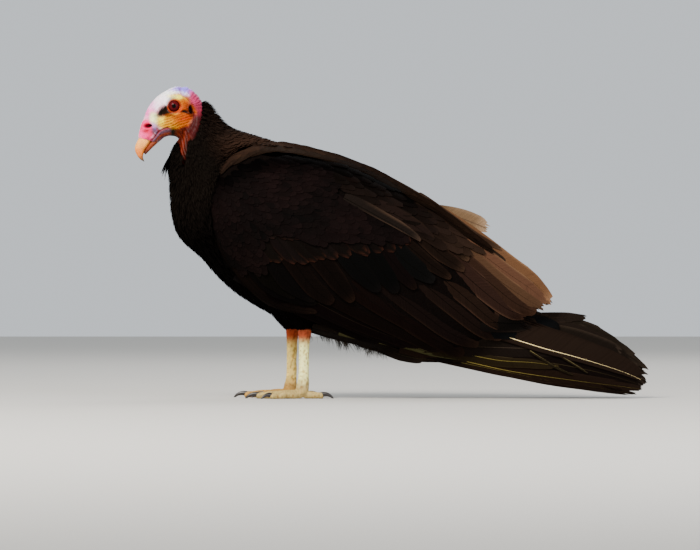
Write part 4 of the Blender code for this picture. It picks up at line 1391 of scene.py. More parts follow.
def straight_lines(tips, degrees, lengths, rows, bend=6.0):
    """Midlines that end at the tips; they start steeper than they finish by the bend, in degrees."""
    lines = np.empty((len(tips), rows, 2))
    place = tips.copy()
    lines[:, -1] = place
    for k in range(rows - 1):
        a = np.radians(degrees + bend * ((k + 0.5) / (rows - 1) - 0.3))
        place = place + np.stack([-np.cos(a), np.sin(a)], 1) * (lengths / (rows - 1))[:, None]
        lines[:, rows - 2 - k] = place
    return lines


def rank(side, tip_curve, count, degrees, lengths, widths, heights, base, second, edge, tip, edge_share):
    """A row of covert feathers with its tips on a curve; sizes and angles change along it."""
    share = np.linspace(0, 1, count) + chance.normal(0, 0.12 / count, count)
    tips = along(tip_curve, share) + chance.normal(0, 1.0, (count, 2))
    turn = np.interp(share, np.linspace(0, 1, len(degrees)), degrees) + chance.normal(0, 2.2, count)
    length, width = (np.interp(share, (0, 1), sizes) * chance.uniform(0.94, 1.06, count)
                     for sizes in (lengths, widths))
    lines = straight_lines(tips, turn, length, 9)
    points, t, s = flank_vanes(lines, width / 2, width / 2, side, 7, *heights, 0.3, 0.03)
    own = mixed(base, second, chance.random((count, 1)) ** 1.3)
    colour = shaded(own, t, s, edge=to_linear(edge), tip=to_linear(tip), shaft=to_linear("0A0807"), vary=0.14,
                    edge_share=edge_share, tip_share=0.93)
    keep("wing_coverts", points, t, s, colour, width, length, unwrap_flank)


# %% Ranks of coverts on both wings, from below to above
# Each: tips, count, degrees, lengths, widths, heights, base colours, edge, tip, where the edge begins.
RANKS = (
    (((-150, 158), (-136, 145), (-112, 137), (-84, 138), (-60, 143), (-33, 146), (-8, 150), (16, 158),
      (40, 166)),
     20, (58, 48, 40, 34), (44, 40), (19, 18), (-0.9, 0.2), "080605", "0D0909", "1A0F0B", "2C1811", 0.92),
    (((-156, 180), (-128, 168), (-98, 163), (-72, 165), (-50, 167), (-24, 168), (2, 166)),
     19, (54, 46, 38, 32), (36, 36), (17, 17), (-0.7, 0.2), "080605", "0E0B0B", "120B09", "1C110E", 0.85),
    (((-150, 200), (-120, 188), (-96, 183), (-74, 182), (-53, 182), (-31, 180), (-8, 172)),
     19, (50, 42, 36, 32), (30, 34), (15, 16), (-0.6, 0.2), "080606", "0B0A0B", "100B0A", "160E0D", 0.85),
)
for side in SIDES.values():
    for row in RANKS:
        rank(side, *row)
print("ranks of coverts laid")

# %% [markdown]
# ## Lesser coverts and scapulars
#
# The smallest feathers of the wing grow in rows too close to count, over the shoulder and down to the
# median coverts. They are combed over the envelope in a staggered net, smaller towards the front edge,
# and turned with the wing: steeply down at the bend of the wing, gently back along the body.

# %% Where they grow and which way they lie
MANTLE_EDGE = ((-172, 234), (-160, 245), (-140, 252), (-111, 256), (-74, 250), (-33, 239), (-2, 225),
               (29, 206), (57, 186), (89, 160))
SCAPULAR_EDGE = ((-75, 214), (-54, 205), (-31, 195), (-12, 184), (12, 172), (26, 163), (40, 160), (62, 158))


def net_on_blade(side, spacing, first, last, lower):
    """Staggered roots over part of a wing's outer face, about one spacing apart."""
    roots = []
    share, row = first, 0
    while share < last:
        run = run_of(blade_form(WING_STATIONS, side, np.full(60, share), np.linspace(0.0, lower, 60)))
        number = max(int(run / spacing), 2)
        across = lower * (np.arange(number) + 0.5 * (row % 2)) / number
        roots.append(blade_form(WING_STATIONS, side, np.full(number, share) + chance.normal(0, 0.002, number),
                                across + chance.normal(0, 0.1 / number, number)))
        step = blade_form(WING_STATIONS, side, np.array([share, share + 0.01]), np.array([0.3, 0.3]))
        share += 0.01 * spacing * 0.9 / np.linalg.norm(step[1] - step[0])
        row += 1
    return np.concatenate(roots)


def below_curve(points, curve):
    """How far below a curve in the side view each point is, in millimetres."""
    table = along(curve, np.linspace(0, 1, 80))
    return np.interp(points[:, 0], table[:, 0], table[:, 1]) - points[:, 2]


def comb_back(roots, steeper, wander, lengths_at, rows):
    """Midlines that lie as the wing's feathers do: steeply down at its bend, gently back behind it."""
    x, _, z = roots.T
    lie = 24 + 12 * smooth_step(225, 170, z) + 26 * smooth_step(-108, -172, x + 0.2 * (z - 160)) + steeper
    turn = np.radians(lie + chance.normal(0, wander, len(roots)))
    ways = np.stack([np.cos(turn), np.zeros(len(roots)), -np.sin(turn)], 1)
    lengths = lengths_at()
    return *comb(roots, ways, lengths, rows), lengths


def lay_on_wing(piece, roots, path, normals, lengths, width_share, tops, ragged, patches, hexes, dim, lights):
    """Vanes over combed midlines, mottled between two colours in patches and passed through dim, which paints
    shade where they lie under the mantle's edge.
    """
    tip_round, ragged = ragged
    widths = lengths * width_share
    points, t, s = build_vanes(path, normals, widths, 9, -2.9, tops, tip_round, ragged, 0.12, 0.05)
    scale, seed, scatter = patches
    mix = np.clip(0.5 + 0.5 * soft_noise(roots, scale, seed) + chance.normal(0, scatter, len(roots)), 0, 1)
    own = dim(mixed(*hexes, mix[:, None]))
    edge, tip, vary = lights
    colour = shaded(own, t, s, edge=own * edge, tip=own * tip, root=own * 0.6, vary=vary)
    keep(piece, points, t, s, colour, widths, lengths, unwrap_flank)


for side in SIDES.values():
    # Lesser coverts, over the shoulder and along the wing's front edge.
    roots = net_on_blade(side, 5.2, 0.0, 0.72, 0.86)
    x, _, z = roots.T
    below_edge, below_scapular = below_curve(roots, MANTLE_EDGE), below_curve(roots, SCAPULAR_EDGE)
    lowest = 176 + 26 * smooth_step(-120, -175, x) - 40 * smooth_step(-150, -185, x)
    chosen = (below_edge > 5) & ((z > lowest) & ((below_scapular > 0) | (x < -75)) | (x < -140) & (z > 140))
    # Painted shade: lesser coverts just under the mantle's edge are darkened.
    roots, out_of_edge_shade = roots[chosen], smooth_step(4, 20, below_edge[chosen])[:, None]
    size = 11 + 9 * smooth_step(-170, -60, roots[:, 0]) + 4 * smooth_step(220, 175, roots[:, 2])
    combed = comb_back(roots, 0, 9, lambda: size * chance.uniform(0.9, 1.15, len(roots)) * 1.3, 5)
    lay_on_wing("wing_lesser_coverts", roots, *combed, 0.62, -1.5 + chance.normal(0, 0.2, len(roots)),
                (0.42, 0.035), (22.0, 71, 0.14), ("060505", "0F0909"),
                lambda base: base * (0.2 + 0.8 * out_of_edge_shade), (1.15, 1.25, 0.1))

    # Scapulars: broad, soft brown feathers between the mantle's edge and their own lower edge.
    roots = net_on_blade(side, 9.5, 0.28, 0.92, 0.62)
    x = roots[:, 0]
    below_edge, below_scapular = below_curve(roots, MANTLE_EDGE), below_curve(roots, SCAPULAR_EDGE)
    chosen = (below_edge > 1) & (below_scapular < -16) & (x > -84) & (x < 66)
    roots, x = roots[chosen], x[chosen]
    # Painted shade: at the front, scapulars just under the mantle's edge are darkened; the rear ones are
    # mixed towards brown.
    hidden = (0.8 * smooth_step(20, 4, below_edge[chosen]) * smooth_step(30, -20, x))[:, None]
    rear = 0.5 * smooth_step(5, 55, x)[:, None]
    size = 33 + 14 * smooth_step(-70, 40, x)
    combed = comb_back(roots, 4, 4, lambda: size * chance.uniform(0.9, 1.1, len(x)), 7)
    lay_on_wing("wing_scapulars", roots, *combed, 0.52, -0.8, (0.35, 0.06), (26.0, 72, 0.3),
                ("080605", "130D0B"), lambda base: mixed(base * (1 - hidden), "2A1E17", rear),
                (1.25, 1.35, 0.15))
print("lesser coverts and scapulars laid")

# %% The mantle's smooth brown edge, which folds over the wing's upper border
BAND = ((-176, 232), (-168, 240), (-157, 247), (-138, 255), (-119, 258.5), (-97, 256), (-71, 250), (-44, 242),
        (-20, 233), (0, 222), (20, 210), (48, 193), (78, 170), (104, 152))
BAND_COUNT, BAND_ROWS, BAND_LENGTH = 60, 11, 34.0


def edge_row(side, drop, width, heights, hexes):
    """Feathers that follow the band one behind the other."""
    share = np.linspace(0.0, 0.9, BAND_COUNT) + chance.normal(0, 0.004, BAND_COUNT)
    spread = np.linspace(0, 1, BAND_ROWS) * BAND_LENGTH / run_of(along(BAND, np.linspace(0, 1, 80)))
    lines = np.array([along(BAND, np.clip(start + spread, 0, 1)) for start in share])
    lines = lines - np.array([0, drop]) + chance.normal(0, 0.35, (BAND_COUNT, 1, 2))
    widths = width * (0.55 + 0.45 * smooth_step(0, 0.15, share) - 0.3 * smooth_step(0.3, 0.6, share))
    points, t, s = flank_vanes(lines, widths / 2, widths / 2, side, 9, *heights, 0.35, 0.04,
                               louvre=0.3, camber=1.0)
    own = mixed(*hexes, chance.random((BAND_COUNT, 1)))
    own = own * (1.4 - 0.85 * smooth_step(0.25, 0.5, share))[:, None]
    colour = shaded(own, t, s, edge=own * 1.12, tip=own * 1.15, vary=0.06, edge_share=0.95)
    keep("wing_mantle_edge", points, t, s, colour, widths, BAND_LENGTH, unwrap_flank)


for side in SIDES.values():
    edge_row(side, 2.2, 7.0, (0.6, 2.2), ("110B08", "17100B"))
    edge_row(side, -1.2, 8.0, (1.2, 3.2), ("170F0B", "1E140E"))

# %% [markdown]
# ## Flight feathers
#
# These are the only feathers large enough to be seen one by one, so each has its own line, its own inner
# and outer vane and a shaft. Secondaries and the broad tertials lie side by side along the wing; the long
# primaries come out under them to the wing tip. Their shafts are cream where the wing shows its edge.

# %% Long feathers with a shaft
LONG_PATCH = 0.02


def long_feathers(piece, side, table, heights, base, edge, tip, shaft, columns=13, rows=34, hidden=25.0,
                  shaft_width=0.8, edge_share=0.92, **shape):
    """Feathers along curves of (x, z); each row of the table is a curve, its upper and its lower half width.

    Every midline is lengthened at its root by the hidden part, under the feathers before it. A colour is
    one hex value for all, or as many as there are feathers.
    """
    count = len(table)
    fine = []
    for line, _up, _low in table:
        line = np.array(line, float)
        root = line[0] + unit(line[0] - line[1]) * hidden
        fine.append(along(np.concatenate([[root], line]), np.linspace(0, 1, rows)))
    fine = np.array(fine)
    up_width, low_width = (np.array([row[k] for row in table], float) for k in (1, 2))
    base, edge, tip, shaft = (np.array([to_linear(h) for h in (names.split() * count)[:count]])
                              for names in (base, edge, tip, shaft))
    shape = {"tip_round": 0.22, "ragged": 0.015, "widest": 0.45, "root_share": 0.6, "notch": 0.05, **shape}
    points, t, s = flank_vanes(fine, up_width, low_width, side, columns, *heights, narrowing=0.12, **shape)
    colour = shaded(base, t, s, edge=edge, tip=tip, vary=0.06, edge_share=edge_share, tip_share=0.95)
    lengths = np.linalg.norm(np.diff(fine, axis=1), axis=2).sum(1)
    keep(piece, points, t, s, colour, up_width + low_width, lengths, unwrap_flank, LONG_PATCH)
    # The shaft: a thin raised ridge that tapers to the tip.
    middle = columns // 2
    spine = points[:, :, middle]
    across = unit(points[:, :, middle + 1] - points[:, :, middle - 1])
    out = np.array([0, side, 0])
    half = (1 - 0.85 * np.linspace(0, 1, rows) ** 1.2)[None, :, None] * shaft_width * 0.5
    crest = np.stack([spine - across * half, spine + out * half, spine + across * half], 2)
    crest[:, -1] = crest[:, -1, 1:2]
    crest[:, :, :, 1] += side * 0.10
    t = np.broadcast_to(np.linspace(0, 1, rows)[None, :, None], crest.shape[:3])
    keep(piece + "_shafts", crest, t, t * 0, shaft[:, None, None, :] * np.ones(crest.shape), 1.0, lengths,
         unwrap_flank, LONG_PATCH)


# %% The wing tip: primaries, the deepest layer
for side in SIDES.values():
    long_feathers("wing_primaries", side, [
        (((119, 27), (163, 18), (204, 12), (253, 4)), 4, 5),
        (((76, 38), (122, 28), (183, 19), (260, 9)), 9, 7),
        (((78, 45), (111, 39), (144, 37), (172, 33)), 4, 7),
        (((100, 44), (160, 37), (215, 26), (258, 13)), 12, 13),
        (((120, 52), (173, 50), (218, 38), (263, 14)), 12, 11),
        (((120, 62), (173, 62), (220, 48), (265, 25)), 14, 9),
        (((120, 70), (160, 74), (205, 65), (257, 33)), 13, 9),
        (((110, 71), (152, 75), (192, 69), (237, 47)), 9, 9),
    ], ((-3.0, -3.2, -3.4, -4.4, -4.2, -4.0, -3.8, -3.6), (-1.8, -2.0, -2.4, -3.6, -3.4, -3.0, -2.8, -2.6)),
        "120C09 150E0A 18130B 0C0807 110D0B 14100D 16120E 17120F",
        "1A130F 1C140F 211A10 15100C 241D18 28211B 29221C 29221C",
        "17110D 1A130F 1E170E 120E0B 2A231D 2E261F 2E261F 2A231D",
        "4A4220 746832 665C2C 30291A 342C24 342C24 2C251F 2C251F",
        ragged=0.035, notch=0.16, root_share=0.85, widest=0.3, columns=17, hidden=70)
    long_feathers("wing_primaries", side, [
        (((100, 69), (152, 52.5), (194, 41), (235, 28), (256, 19)), 25, 5.5),
    ], (-2.2, -1.7), "1A130F", "130E0B", "17110E", "F6E2A8", shaft_width=1.9, ragged=0.02, notch=0.1,
        tip_round=0.5, root_share=0.9, widest=0.35, columns=21, rows=50)
    # A worn, frayed end behind the big primary and two thin bare-edged shafts under it.
    long_feathers("wing_primaries", side, [(((150, 82), (176, 83), (203, 82)), 6, 6)], (-3.2, -2.2), "181310",
                  "221B16", "2A221C", "201913", ragged=0.10, notch=0.5, root_share=0.8)
    long_feathers("wing_primaries", side, [
        (((148, 45), (167, 33), (186, 24)), 1.2, 2.0), (((176, 42), (189, 34), (201, 26)), 1.2, 1.8),
    ], (-2.6, -1.9), "14100A", "1A150D", "1A150D", "5C5436", root_share=0.9, hidden=8, shaft_width=0.7)
    # Ends of the inner primaries, round-tipped: slate behind, brown before it.
    long_feathers("wing_primaries", side, [
        (((112, 74), (138, 74), (156, 73), (172, 72)), 13, 13), (((106, 78), (126, 77), (148, 78)), 9, 10),
    ], ((-2.0, -1.4), (-0.4, 0.0)), "08090A 0C0A09", "0F0D0C 1D1612", "060606 221913", "050505 060505",
        tip_round=0.28, root_share=0.85, hidden=16)
    # The pale olive undersides that show below the secondaries, their olive sheen a painted reflection, and
    # the dark edge under them.
    long_feathers("wing_primaries", side, [
        (((-30, 64), (12, 56), (39, 48), (72, 41)), 4, 4.5),
        (((-58, 66), (-26, 58), (6, 45), (31, 38)), 6, 6),
        (((-10, 50), (22, 42), (50, 40), (78, 39)), 3, 3.5),
    ], ((-3.2, -2.6, -2.8), (-2.6, -2.0, -2.2)), "34331F 0E0A08 120D09", "2A2818 17110D 1A140E",
        "2A2818 17110D 1A140E", "4A4830 0C0907 1E1A10", root_share=0.8)

# %% Secondaries, tertials and the dark scapulars of the wing's upper border
for side in SIDES.values():
    long_feathers("wing_secondaries", side, [
        (((-130, 112), (-96, 94), (-50, 74), (-12, 58)), 9, 8),
        (((-95, 104), (-60, 86), (-20, 68), (16, 54)), 9, 8),
        (((-74, 97), (-41, 80), (-4, 65), (30, 54)), 9, 8),
        (((-60, 103), (-20, 83), (22, 63), (50, 50)), 9.5, 8.5),
        (((-41, 113), (-12, 94), (29, 70), (60, 47)), 10, 8.5),
        (((-12, 103), (14, 80), (45, 60), (74, 45)), 10, 9),
        (((0, 111), (29, 89), (58, 68), (89, 55)), 10, 9),
        (((35, 115), (62, 93), (89, 72), (113, 62)), 10, 8.5),
        (((56, 119), (80, 99), (103, 80), (123, 73)), 10, 8),
        (((68, 132), (97, 107), (119, 91), (138, 85)), 12, 9),
        (((72, 141), (103, 116), (126, 98), (148, 88)), 10, 9),
    ], ((-2.3,) * 9 + (-2.0, -1.9), -0.5),
        "070404 080505 090505 0A0605 0B0605 0C0706 0E0908 110B09 18100C 1F1410 231711",
        "0D0807 0E0908 110B09 140D0A 170F0B 1B120D 211711 2A1D15 3A281F 4A3529 4E372A",
        "0D0807 0E0908 110B09 140D0A 170F0B 1B120D 211711 2A1D15 3A281F 402C22 483125",
        "16110D 16110D 16110D 0A0706 0A0706 080605 080605 080605 080605 0A0706 120C08",
        hidden=34, tip_round=0.16, notch=0.04, edge_share=0.97, louvre=0.8, root_share=0.8)
    long_feathers("wing_tertials", side, [
        (((78, 146), (111, 120), (136, 103), (157, 91)), 9, 8),
        (((84, 154), (115, 131), (144, 111), (163, 95)), 9, 8),
        (((84, 163), (117, 139), (145, 119), (165, 99)), 11, 9),
    ], ((-1.8, -1.3, -0.9), (-0.3, 0.0, 0.3)), "3B2A1E 452F23 503826", "5C4432 68503A 765C44",
        "523C2D 624A36 7A5E48", "1E150E 241910 2A1E13", hidden=40, tip_round=0.34, ragged=0.05, notch=0.28,
        root_share=0.8, louvre=0.5, columns=17)
    long_feathers("wing_tertials", side, [
        (((2, 220), (39, 195), (76, 167), (117, 141)), 5, 4.5),
        (((-14, 230), (19, 212), (49, 193), (90, 165)), 4, 3.5),
        (((30, 207), (60, 186), (88, 166), (113, 153)), 4, 3.5),
    ], ((-2.4, -1.8, -1.6), (0.6, 1.6, 1.2)), "100B08 1E150F 271B14", "1E1612 342720 443327",
        "2A2019 342720 4E3C2E", "0B0806 1A120D 1E150F", root_share=0.1, louvre=0.4, hidden=4)

# %% Inner vanes under the tertials, which close the wing from above and behind
for side in SIDES.values():
    long_feathers("wing_secondaries", side, [
        (((-20, 200), (40, 160), (92, 120), (128, 92)), 14, 10),
        (((-10, 208), (48, 168), (100, 128), (138, 96)), 14, 10),
        (((0, 212), (56, 176), (112, 136), (161, 98)), 13, 10),
        (((60, 98), (92, 90), (128, 84), (164, 79)), 13, 12),
        (((70, 78), (104, 76), (136, 74), (162, 70)), 12, 12),
    ], (-6.5, (-5.0, -5.0, -4.4, -5.5, -5.5)), "120C09 17100B 1E150F 0A0706 0A0706",
        "1A120D 21170F 2C2017 100C0A 100C0A", "1A120D 21170F 2C2017 100C0A 100C0A",
        "0A0706", hidden=10, tip_round=0.25, louvre=0.3)

# %% Greater coverts, one by one: slate ones in the middle, brown ones before and behind
for side in SIDES.values():
    long_feathers("wing_coverts", side, [
        (((-163, 154), (-153, 130), (-131, 106), (-107, 94), (-76, 89)), 7.7, 6.9),
        (((-150, 150), (-137, 126), (-112, 106), (-76, 97)), 8.3, 6.9),
        (((-142, 148), (-128, 123), (-99, 103)), 9.4, 8),
        (((-124, 146), (-107, 119), (-78, 100)), 10.6, 9.2),
        (((-103, 144), (-81, 114), (-60, 98)), 11.8, 10.3),
        (((-78, 148), (-58, 122), (-40, 99)), 11.8, 10.3),
        (((-54, 158), (-35, 132), (-13, 110)), 13, 11.5),
        (((-33, 162), (-14, 136), (5, 108)), 13, 11.5),
        (((-20, 164), (2, 138), (24, 112)), 11.8, 10.3),
        (((-6, 160), (14, 140), (43, 120)), 13, 11.5),
        (((19, 154), (41, 136), (60, 123)), 7.1, 6.9),
        (((31, 166), (49, 148), (74, 131)), 9.4, 8),
        (((41, 178), (60, 160), (78, 141)), 8.3, 6.9),
        (((22, 186), (40, 176), (56, 160)), 9.4, 8),
    ], (-1.0, (0.4, 0.0, -0.1, 0.0, 0.0, 0.2, 0.2, 0.2, 0.0, 0.4, 0.3, 0.5, 0.6, 0.9)),
        "0B0706 050404 060504 060505 090605 090605 050505 050505 080505 070707 0E0907 120C09 17100B 110B08",
        "110B08 080606 090706 0A0807 130C09 140D0A 080707 080707 0E0907 0B0A0A 1C130E 261A13 2E2118 1E1410",
        "150E0A 0A0807 0A0807 0C0908 150D0A 1C120D 0B0909 0B0909 120B08 0D0C0C 261A13 302219 3A2B20 261A14",
        "060504", hidden=28, tip_round=0.3, louvre=0.7, rows=22, columns=11, root_share=0.7)
    # The pale lower edge of the scapulars.
    long_feathers("wing_scapulars", side, [
        (((-34, 197), (-10, 184), (10, 173), (29, 161)), 8, 2.6),
        (((-2, 191), (16, 181), (30, 172), (42, 162)), 8, 5.5),
    ], ((0.9, 0.7), (2.0, 1.6)), "14100E 17100E", "33271F 1A120E", "3A2D25 20160F", "0A0806",
        hidden=18, edge_share=0.72, rows=22, columns=13, tip_round=0.3)
print("flight feathers of both wings laid")

# %% [markdown]
# ## Tail
#
# Twelve tail feathers lie nearly closed between the wing tips, the middle pair on top. Each is a long vane
# with a shaft, fanned a little and bowed down at the sides. Coverts hide their roots above and below.

# %% Twelve tail feathers between the wings
TAIL_LINE = ((50.0, 64.0), (100.0, 51.0), (140.0, 38.0), (180.0, 26.0), (215.0, 15.0), (246.0, 6.5))


def cuts(count, rows, columns, tip_round, ragged):
    """How far along each vane every grid point is, with rounded, ragged tips, and its place across."""
    s = np.linspace(-1, 1, columns)[None, None, :]
    t = np.linspace(0, 1, rows)[None, :, None]
    reach = t * (1 - tip_round * np.abs(s) ** 2.6 - ragged * chance.random((count, 1, columns)))
    return reach, np.broadcast_to(s, reach.shape), t


def on_line(line, share):
    """Places (x, z) on a line in the bird's middle plane at shares of any shape."""
    return np.moveaxis(along(line, share.ravel()).reshape(share.shape + (2,)), -1, 0)


order = np.array([0.6, -0.6, 4.5, -4.5, 8.0, -8.0, 11.5, -11.5, 15.0, -15.0, 18.5, -18.5])
count = len(order)
t, s, steps = cuts(count, 26, 13, 0.10, 0.02)
share = np.clip(t * (1.0 - 0.004 * np.abs(order))[:, None, None], 0, 1)
x, z = on_line(TAIL_LINE, share)
y = order[:, None, None] * (0.30 + 0.70 * share) + s * 9.5 * vane_profile(steps, 0.7, 0.6, 0.12)
z = z + (5.0 - 0.40 * np.arange(count))[:, None, None] - 0.004 * y ** 2 + 0.5 * np.abs(s)
own = to_linear("100B08") * chance.uniform(0.8, 1.15, (count, 1))
colour = shaded(own, t, s, edge=own * 1.5, tip=own * 1.7, shaft=to_linear("2A2014"), vary=0.06,
                edge_share=0.95)
keep("tail_feathers", np.stack([x, y, np.maximum(z, 0.4)], -1), t, s, colour, 19.0, 215.0, patch=LONG_PATCH)

# %% Coverts above and below the tail's root: how high the seeds are, their reach aside and back, colour
for seed_z, spread, reach_x, hex_colour in ((90.0, 15.0, 92.0, "120D0A"), (10.0, 14.0, 96.0, "0C0908")):
    x, y = chance.uniform(30, reach_x, 70), chance.uniform(-spread, spread, 70)
    place, out, _ = onto_form(np.stack([x, y, np.full(70, seed_z)], 1))
    place = place[(np.abs(place[:, 1]) < 14) & (np.abs(out[:, 1]) < 0.6)]
    number = len(place)
    lengths = chance.uniform(24, 34, number)
    ways = np.tile((0.93, 0.0, -0.34), (number, 1)) + chance.normal(0, 0.05, (number, 3))
    path, normals = comb(place, unit(ways), lengths, 7)
    points, t, s = build_vanes(path, normals, lengths * 0.5, 9, -2.4, 0.6, 0.35, 0.14, 0.1, 0.04)
    own = np.tile(to_linear(hex_colour), (number, 1))
    colour = shaded(own, t, s, edge=own * 1.3, tip=own * 1.4)
    keep("tail_coverts", points, t, s, colour, lengths * 0.5, lengths)

# %% Rump and upper tail coverts, dark, between the folded wings
BACK_PATCH = 0.01
RUMP = ((-10.0, 158.0), (40.0, 132.0), (90.0, 102.0), (130.0, 80.0), (170.0, 60.0), (205.0, 44.0),
        (232.0, 30.0))
aside = np.array([-22.0, -15.0, -7.5, 0.0, 7.5, 15.0, 22.0])[:, None, None]
for first, reach_share in ((0.0, 0.36), (0.14, 0.36), (0.28, 0.34), (0.42, 0.32), (0.54, 0.30), (0.66, 0.28)):
    number = len(aside)
    t, s, steps = cuts(number, 12, 9, 0.25, 0.03)
    share = np.clip(first + chance.normal(0, 0.012, (number, 1, 1)) + t * reach_share, 0, 1)
    x, z = on_line(RUMP, share)
    y = aside * (1 - 0.62 * smooth_step(0.5, 0.75, share)) + s * 6.5 * vane_profile(steps, 0.6, 0.5, 0.15)
    z = z + 2.4 * t + 2.0 - 0.4 * np.abs(s) - 0.008 * y ** 2 + chance.normal(0, 0.3, (number, 1, 1))
    own = to_linear("120D0A") * chance.uniform(0.8, 1.3, (number, 1))
    colour = shaded(own, t, s, edge=own * 1.4, tip=own * 1.6, vary=0.06)
    keep("back_feathers", np.stack([x, y, z], -1), t, s, colour, 13.0, 85.0, patch=BACK_PATCH)

# %% Back feathers that close the space between the two wings
# Each row: where it starts along the roof line, places aside, width, share of the line, two colours.
ROOF = ((-150.0, 250.0), (-119.0, 256.0), (-60.0, 247.0), (0.0, 221.0), (39.0, 196.0), (76.0, 169.0),
        (116.0, 142.0), (148.0, 120.0), (168.0, 97.0))
for first, aside, width, reach_share, hexes in (
        (0.00, (-33, -27, -21, 21, 27, 33), 11.0, 0.22, ("1A110C", "241912")),
        (0.08, (-34, -28, -22, 22, 28, 34), 11.0, 0.24, ("1A110C", "241912")),
        (0.16, (-34, -28, -22, 22, 28, 34), 12.0, 0.28, ("1A110C", "241912")),
        (0.25, (-31, -24, -16, -8, 0, 8, 16, 24, 31), 13.0, 0.315, ("1A110C", "241912")),
        (0.37, (-27, -20, -13, -6, 6, 13, 20, 27), 12.5, 0.30, ("1A110C", "281B13")),
        (0.49, (-24, -17, -10, -3, 3, 10, 17, 24), 12.0, 0.285, ("21160F", "32241A")),
        (0.60, (-21, -15, -9, -3, 3, 9, 15, 21), 11.5, 0.27, ("2A1D14", "3E2D20")),
        (0.70, (-19, -13, -7, -2, 2, 7, 13, 19), 11.0, 0.255, ("33241A", "4A3626"))):
    number = len(aside)
    starts = first + chance.normal(0, 0.015, (number, 1, 1))
    t, s, steps = cuts(number, 18, 9, 0.3, 0.02)
    x, z = on_line(ROOF, np.clip(starts + t * reach_share, 0, 1))
    y = np.array(aside)[:, None, None] * (1 - 0.12 * t) + s * width / 2 * vane_profile(steps, 0.6, 0.5, 0.15)
    sag = 5.9 - 3.0 * t - 2.1 * first + 0.006 * y ** 2 + 0.5 * np.abs(s)
    z = z - (sag + chance.normal(0, 0.3, (number, 1, 1)))
    own = mixed(*hexes, chance.random((number, 1)))
    colour = shaded(own, t, s, edge=own * 1.3, tip=own * 1.4, vary=0.06)
    keep("back_feathers", np.stack([x, y, z], -1), t, s, colour, width, 90.0, patch=BACK_PATCH)

# %% One worn tertial of the far wing stands up above the back
RAISED = ((34.0, 196.0), (52.0, 191.0), (70.0, 185.5), (86.0, 179.5), (101.0, 173.0))
fine = along(RAISED, np.linspace(0, 1, 24))[None]
points, t, s = flank_vanes(fine, np.array([10.0]), np.array([7.4]), 1.0, 17, 0.0, 0.0, 0.22, 0.05,
                           louvre=0.0, camber=0.0, widest=0.8, root_share=0.45, narrowing=0.03, notch=0.3)
points[..., 1] = 5.8 + 0.25 * np.sin(t * 5 + s * 2)
colour = shaded(to_linear("68543F"), t, s, edge=to_linear("74604C"), tip=to_linear("8A745E"),
                root=to_linear("3A2A1E"), shaft=to_linear("4E3E30"), vary=0.02)
keep("wing_tertials", points, t, s, colour, 15.0, 75.0, unwrap_flank, LONG_PATCH)
print("tail, coverts and the raised feather laid")

# %% [markdown]
# ## The finish of a feather
#
# A vane is hundreds of barbs, each at a slant to the shaft. Real barbs are a third of a millimetre apart,
# too fine to show here, so they are drawn a little coarser. The stripes come from the point's own place on
# its feather, and they both tint the vane and raise it slightly, which breaks the gloss into the silky
# bands that birds show.

# %% Barbs from a feather's own coordinates
def feather_finish(name, roughness, gloss, barb_step, slant, contrast):
    material, shader = add_finish(name, Roughness=roughness, IOR=1.5, Specular_IOR_Level=gloss)
    place = painted(material, "vane").outputs["Vector"]
    parts = add_node(material, "ShaderNodeSeparateXYZ", {"Vector": place})
    aside = add_node(material, "ShaderNodeMath", {0: parts.outputs["X"]}, operation="ABSOLUTE")
    slanted = add_node(material, "ShaderNodeMath", {0: aside.outputs[0], 1: -slant, 2: parts.outputs["Y"]},
                       operation="MULTIPLY_ADD")
    moved = add_node(material, "ShaderNodeCombineXYZ", {"X": slanted.outputs[0], "Y": parts.outputs["Z"]})
    clumps = add_node(material, "ShaderNodeTexNoise",
                      {"Vector": moved.outputs[0], "Scale": 1.0 / barb_step, "Detail": 2.0, "Roughness": 0.7})
    clumps = clumps.outputs["Fac"]
    base = painted(material, "plumage").outputs["Color"]
    shade_base(material, shader, base, clumps, 1 - contrast, 1 + contrast)
    roughen(material, shader, clumps, 0.3, 0.0003)
    return material


soft_feather = feather_finish("body_feather_soft", 0.8, 0.005, 0.9, 0.8, 0.25)
firm_feather = feather_finish("wing_feather_firm", 0.6, 0.004, 0.8, 0.9, 0.2)

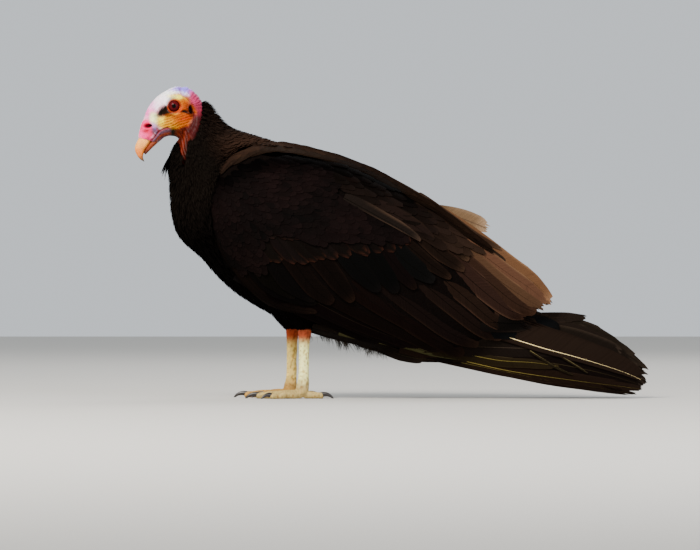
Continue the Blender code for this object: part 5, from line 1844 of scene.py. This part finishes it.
# %% Build each piece of the coat
SOLID_NODES = ("wingtip_left", "wingtip_right", "shoulder_feather_right", "tail")
coat_triangles = 0
for piece, batches in coat.items():
    points, faces, colour, vane, uv = (list(parts) for parts in zip(*batches))
    starts = np.cumsum([0] + [len(part) for part in points[:-1]])
    faces = np.concatenate([part + start for part, start in zip(faces, starts)])
    points = np.concatenate(points)
    points[:, 2] = np.maximum(points[:, 2], 0.15)
    ob = make_object(piece, points, faces)
    store_colour(ob.data, "plumage", np.concatenate(colour))
    layer = ob.data.attributes.new("vane", "FLOAT_VECTOR", "POINT")
    layer.data.foreach_set("vector", np.concatenate(vane).astype(np.float32).ravel())
    corners = np.empty(len(ob.data.loops), np.int32)
    ob.data.loops.foreach_get("vertex_index", corners)
    layer = ob.data.uv_layers.new(name="OFBake")
    layer.data.foreach_set("uv", np.concatenate(uv)[corners].astype(np.float32).ravel())
    firm = "wing" in piece or "tail" in piece
    settle(ob, firm_feather if firm else soft_feather, "wing_feather" if firm else "body_feather",
           *(SOLID_NODES if piece == "wing_primaries" else ()))
    coat_triangles += len(faces) * 2
    print(piece, len(faces) * 2, "triangles")
print("coat:", coat_triangles, "triangles")

# %% [markdown]
# ## Floor, light and camera

# %% Studio floor and soft light
FLOOR_REACH = 6000
floor = make_object("floor", np.array([(-1, -1, 0), (1, -1, 0), (1, 1, 0), (-1, 1, 0)]) * FLOOR_REACH,
                    np.array([[0, 1, 2, 3]]))
paper, shader = add_finish("pale_paper_floor", Base_Color=rgba("BDBAB4"), Roughness=0.9)
floor.data.materials.append(paper)

world = bpy.data.worlds.new("studio_air")
bpy.context.scene.world = world
world.use_nodes = True
air = world.node_tree.nodes["Background"]
air.inputs["Color"].default_value = rgba("E6ECF2")
air.inputs["Strength"].default_value = 0.9
BIRD_MIDDLE = (-0.06, 0.0, 0.17)


def add_softbox(name, place, size, power, hex_colour):
    data = bpy.data.lights.new(name, "AREA")
    data.shape = "RECTANGLE"
    data.size, data.size_y = size
    data.energy = power
    data.color = to_linear(hex_colour)
    light = bpy.data.objects.new(name, data)
    light.location = place
    light.rotation_euler = (Vector(BIRD_MIDDLE) - Vector(place)).to_track_quat("-Z", "Y").to_euler()
    bpy.context.scene.collection.objects.link(light)


add_softbox("key_softbox", (-1.3, -2.0, 2.2), (1.4, 1.4), 190.0, "FFF9F0")
add_softbox("fill_softbox", (1.6, -2.4, 1.0), (2.0, 1.6), 45.0, "F2F6FF")
add_softbox("back_softbox", (0.8, 2.2, 2.0), (1.6, 1.2), 30.0, "FFFFFF")

# %% A level camera, far away behind a long lens
DISTANCE = 6.0
VIEW_WIDTH = 0.721
SENSOR = 36.0
camera_data = bpy.data.cameras.new("camera")
camera_data.sensor_width = SENSOR
camera_data.lens = SENSOR * DISTANCE / VIEW_WIDTH
camera_data.clip_end = 100.0
camera = bpy.data.objects.new("camera", camera_data)
camera.location = (-0.0433, -DISTANCE, 0.1267)
camera.rotation_euler = (math.radians(90), 0, 0)
bpy.context.scene.collection.objects.link(camera)
bpy.context.scene.camera = camera
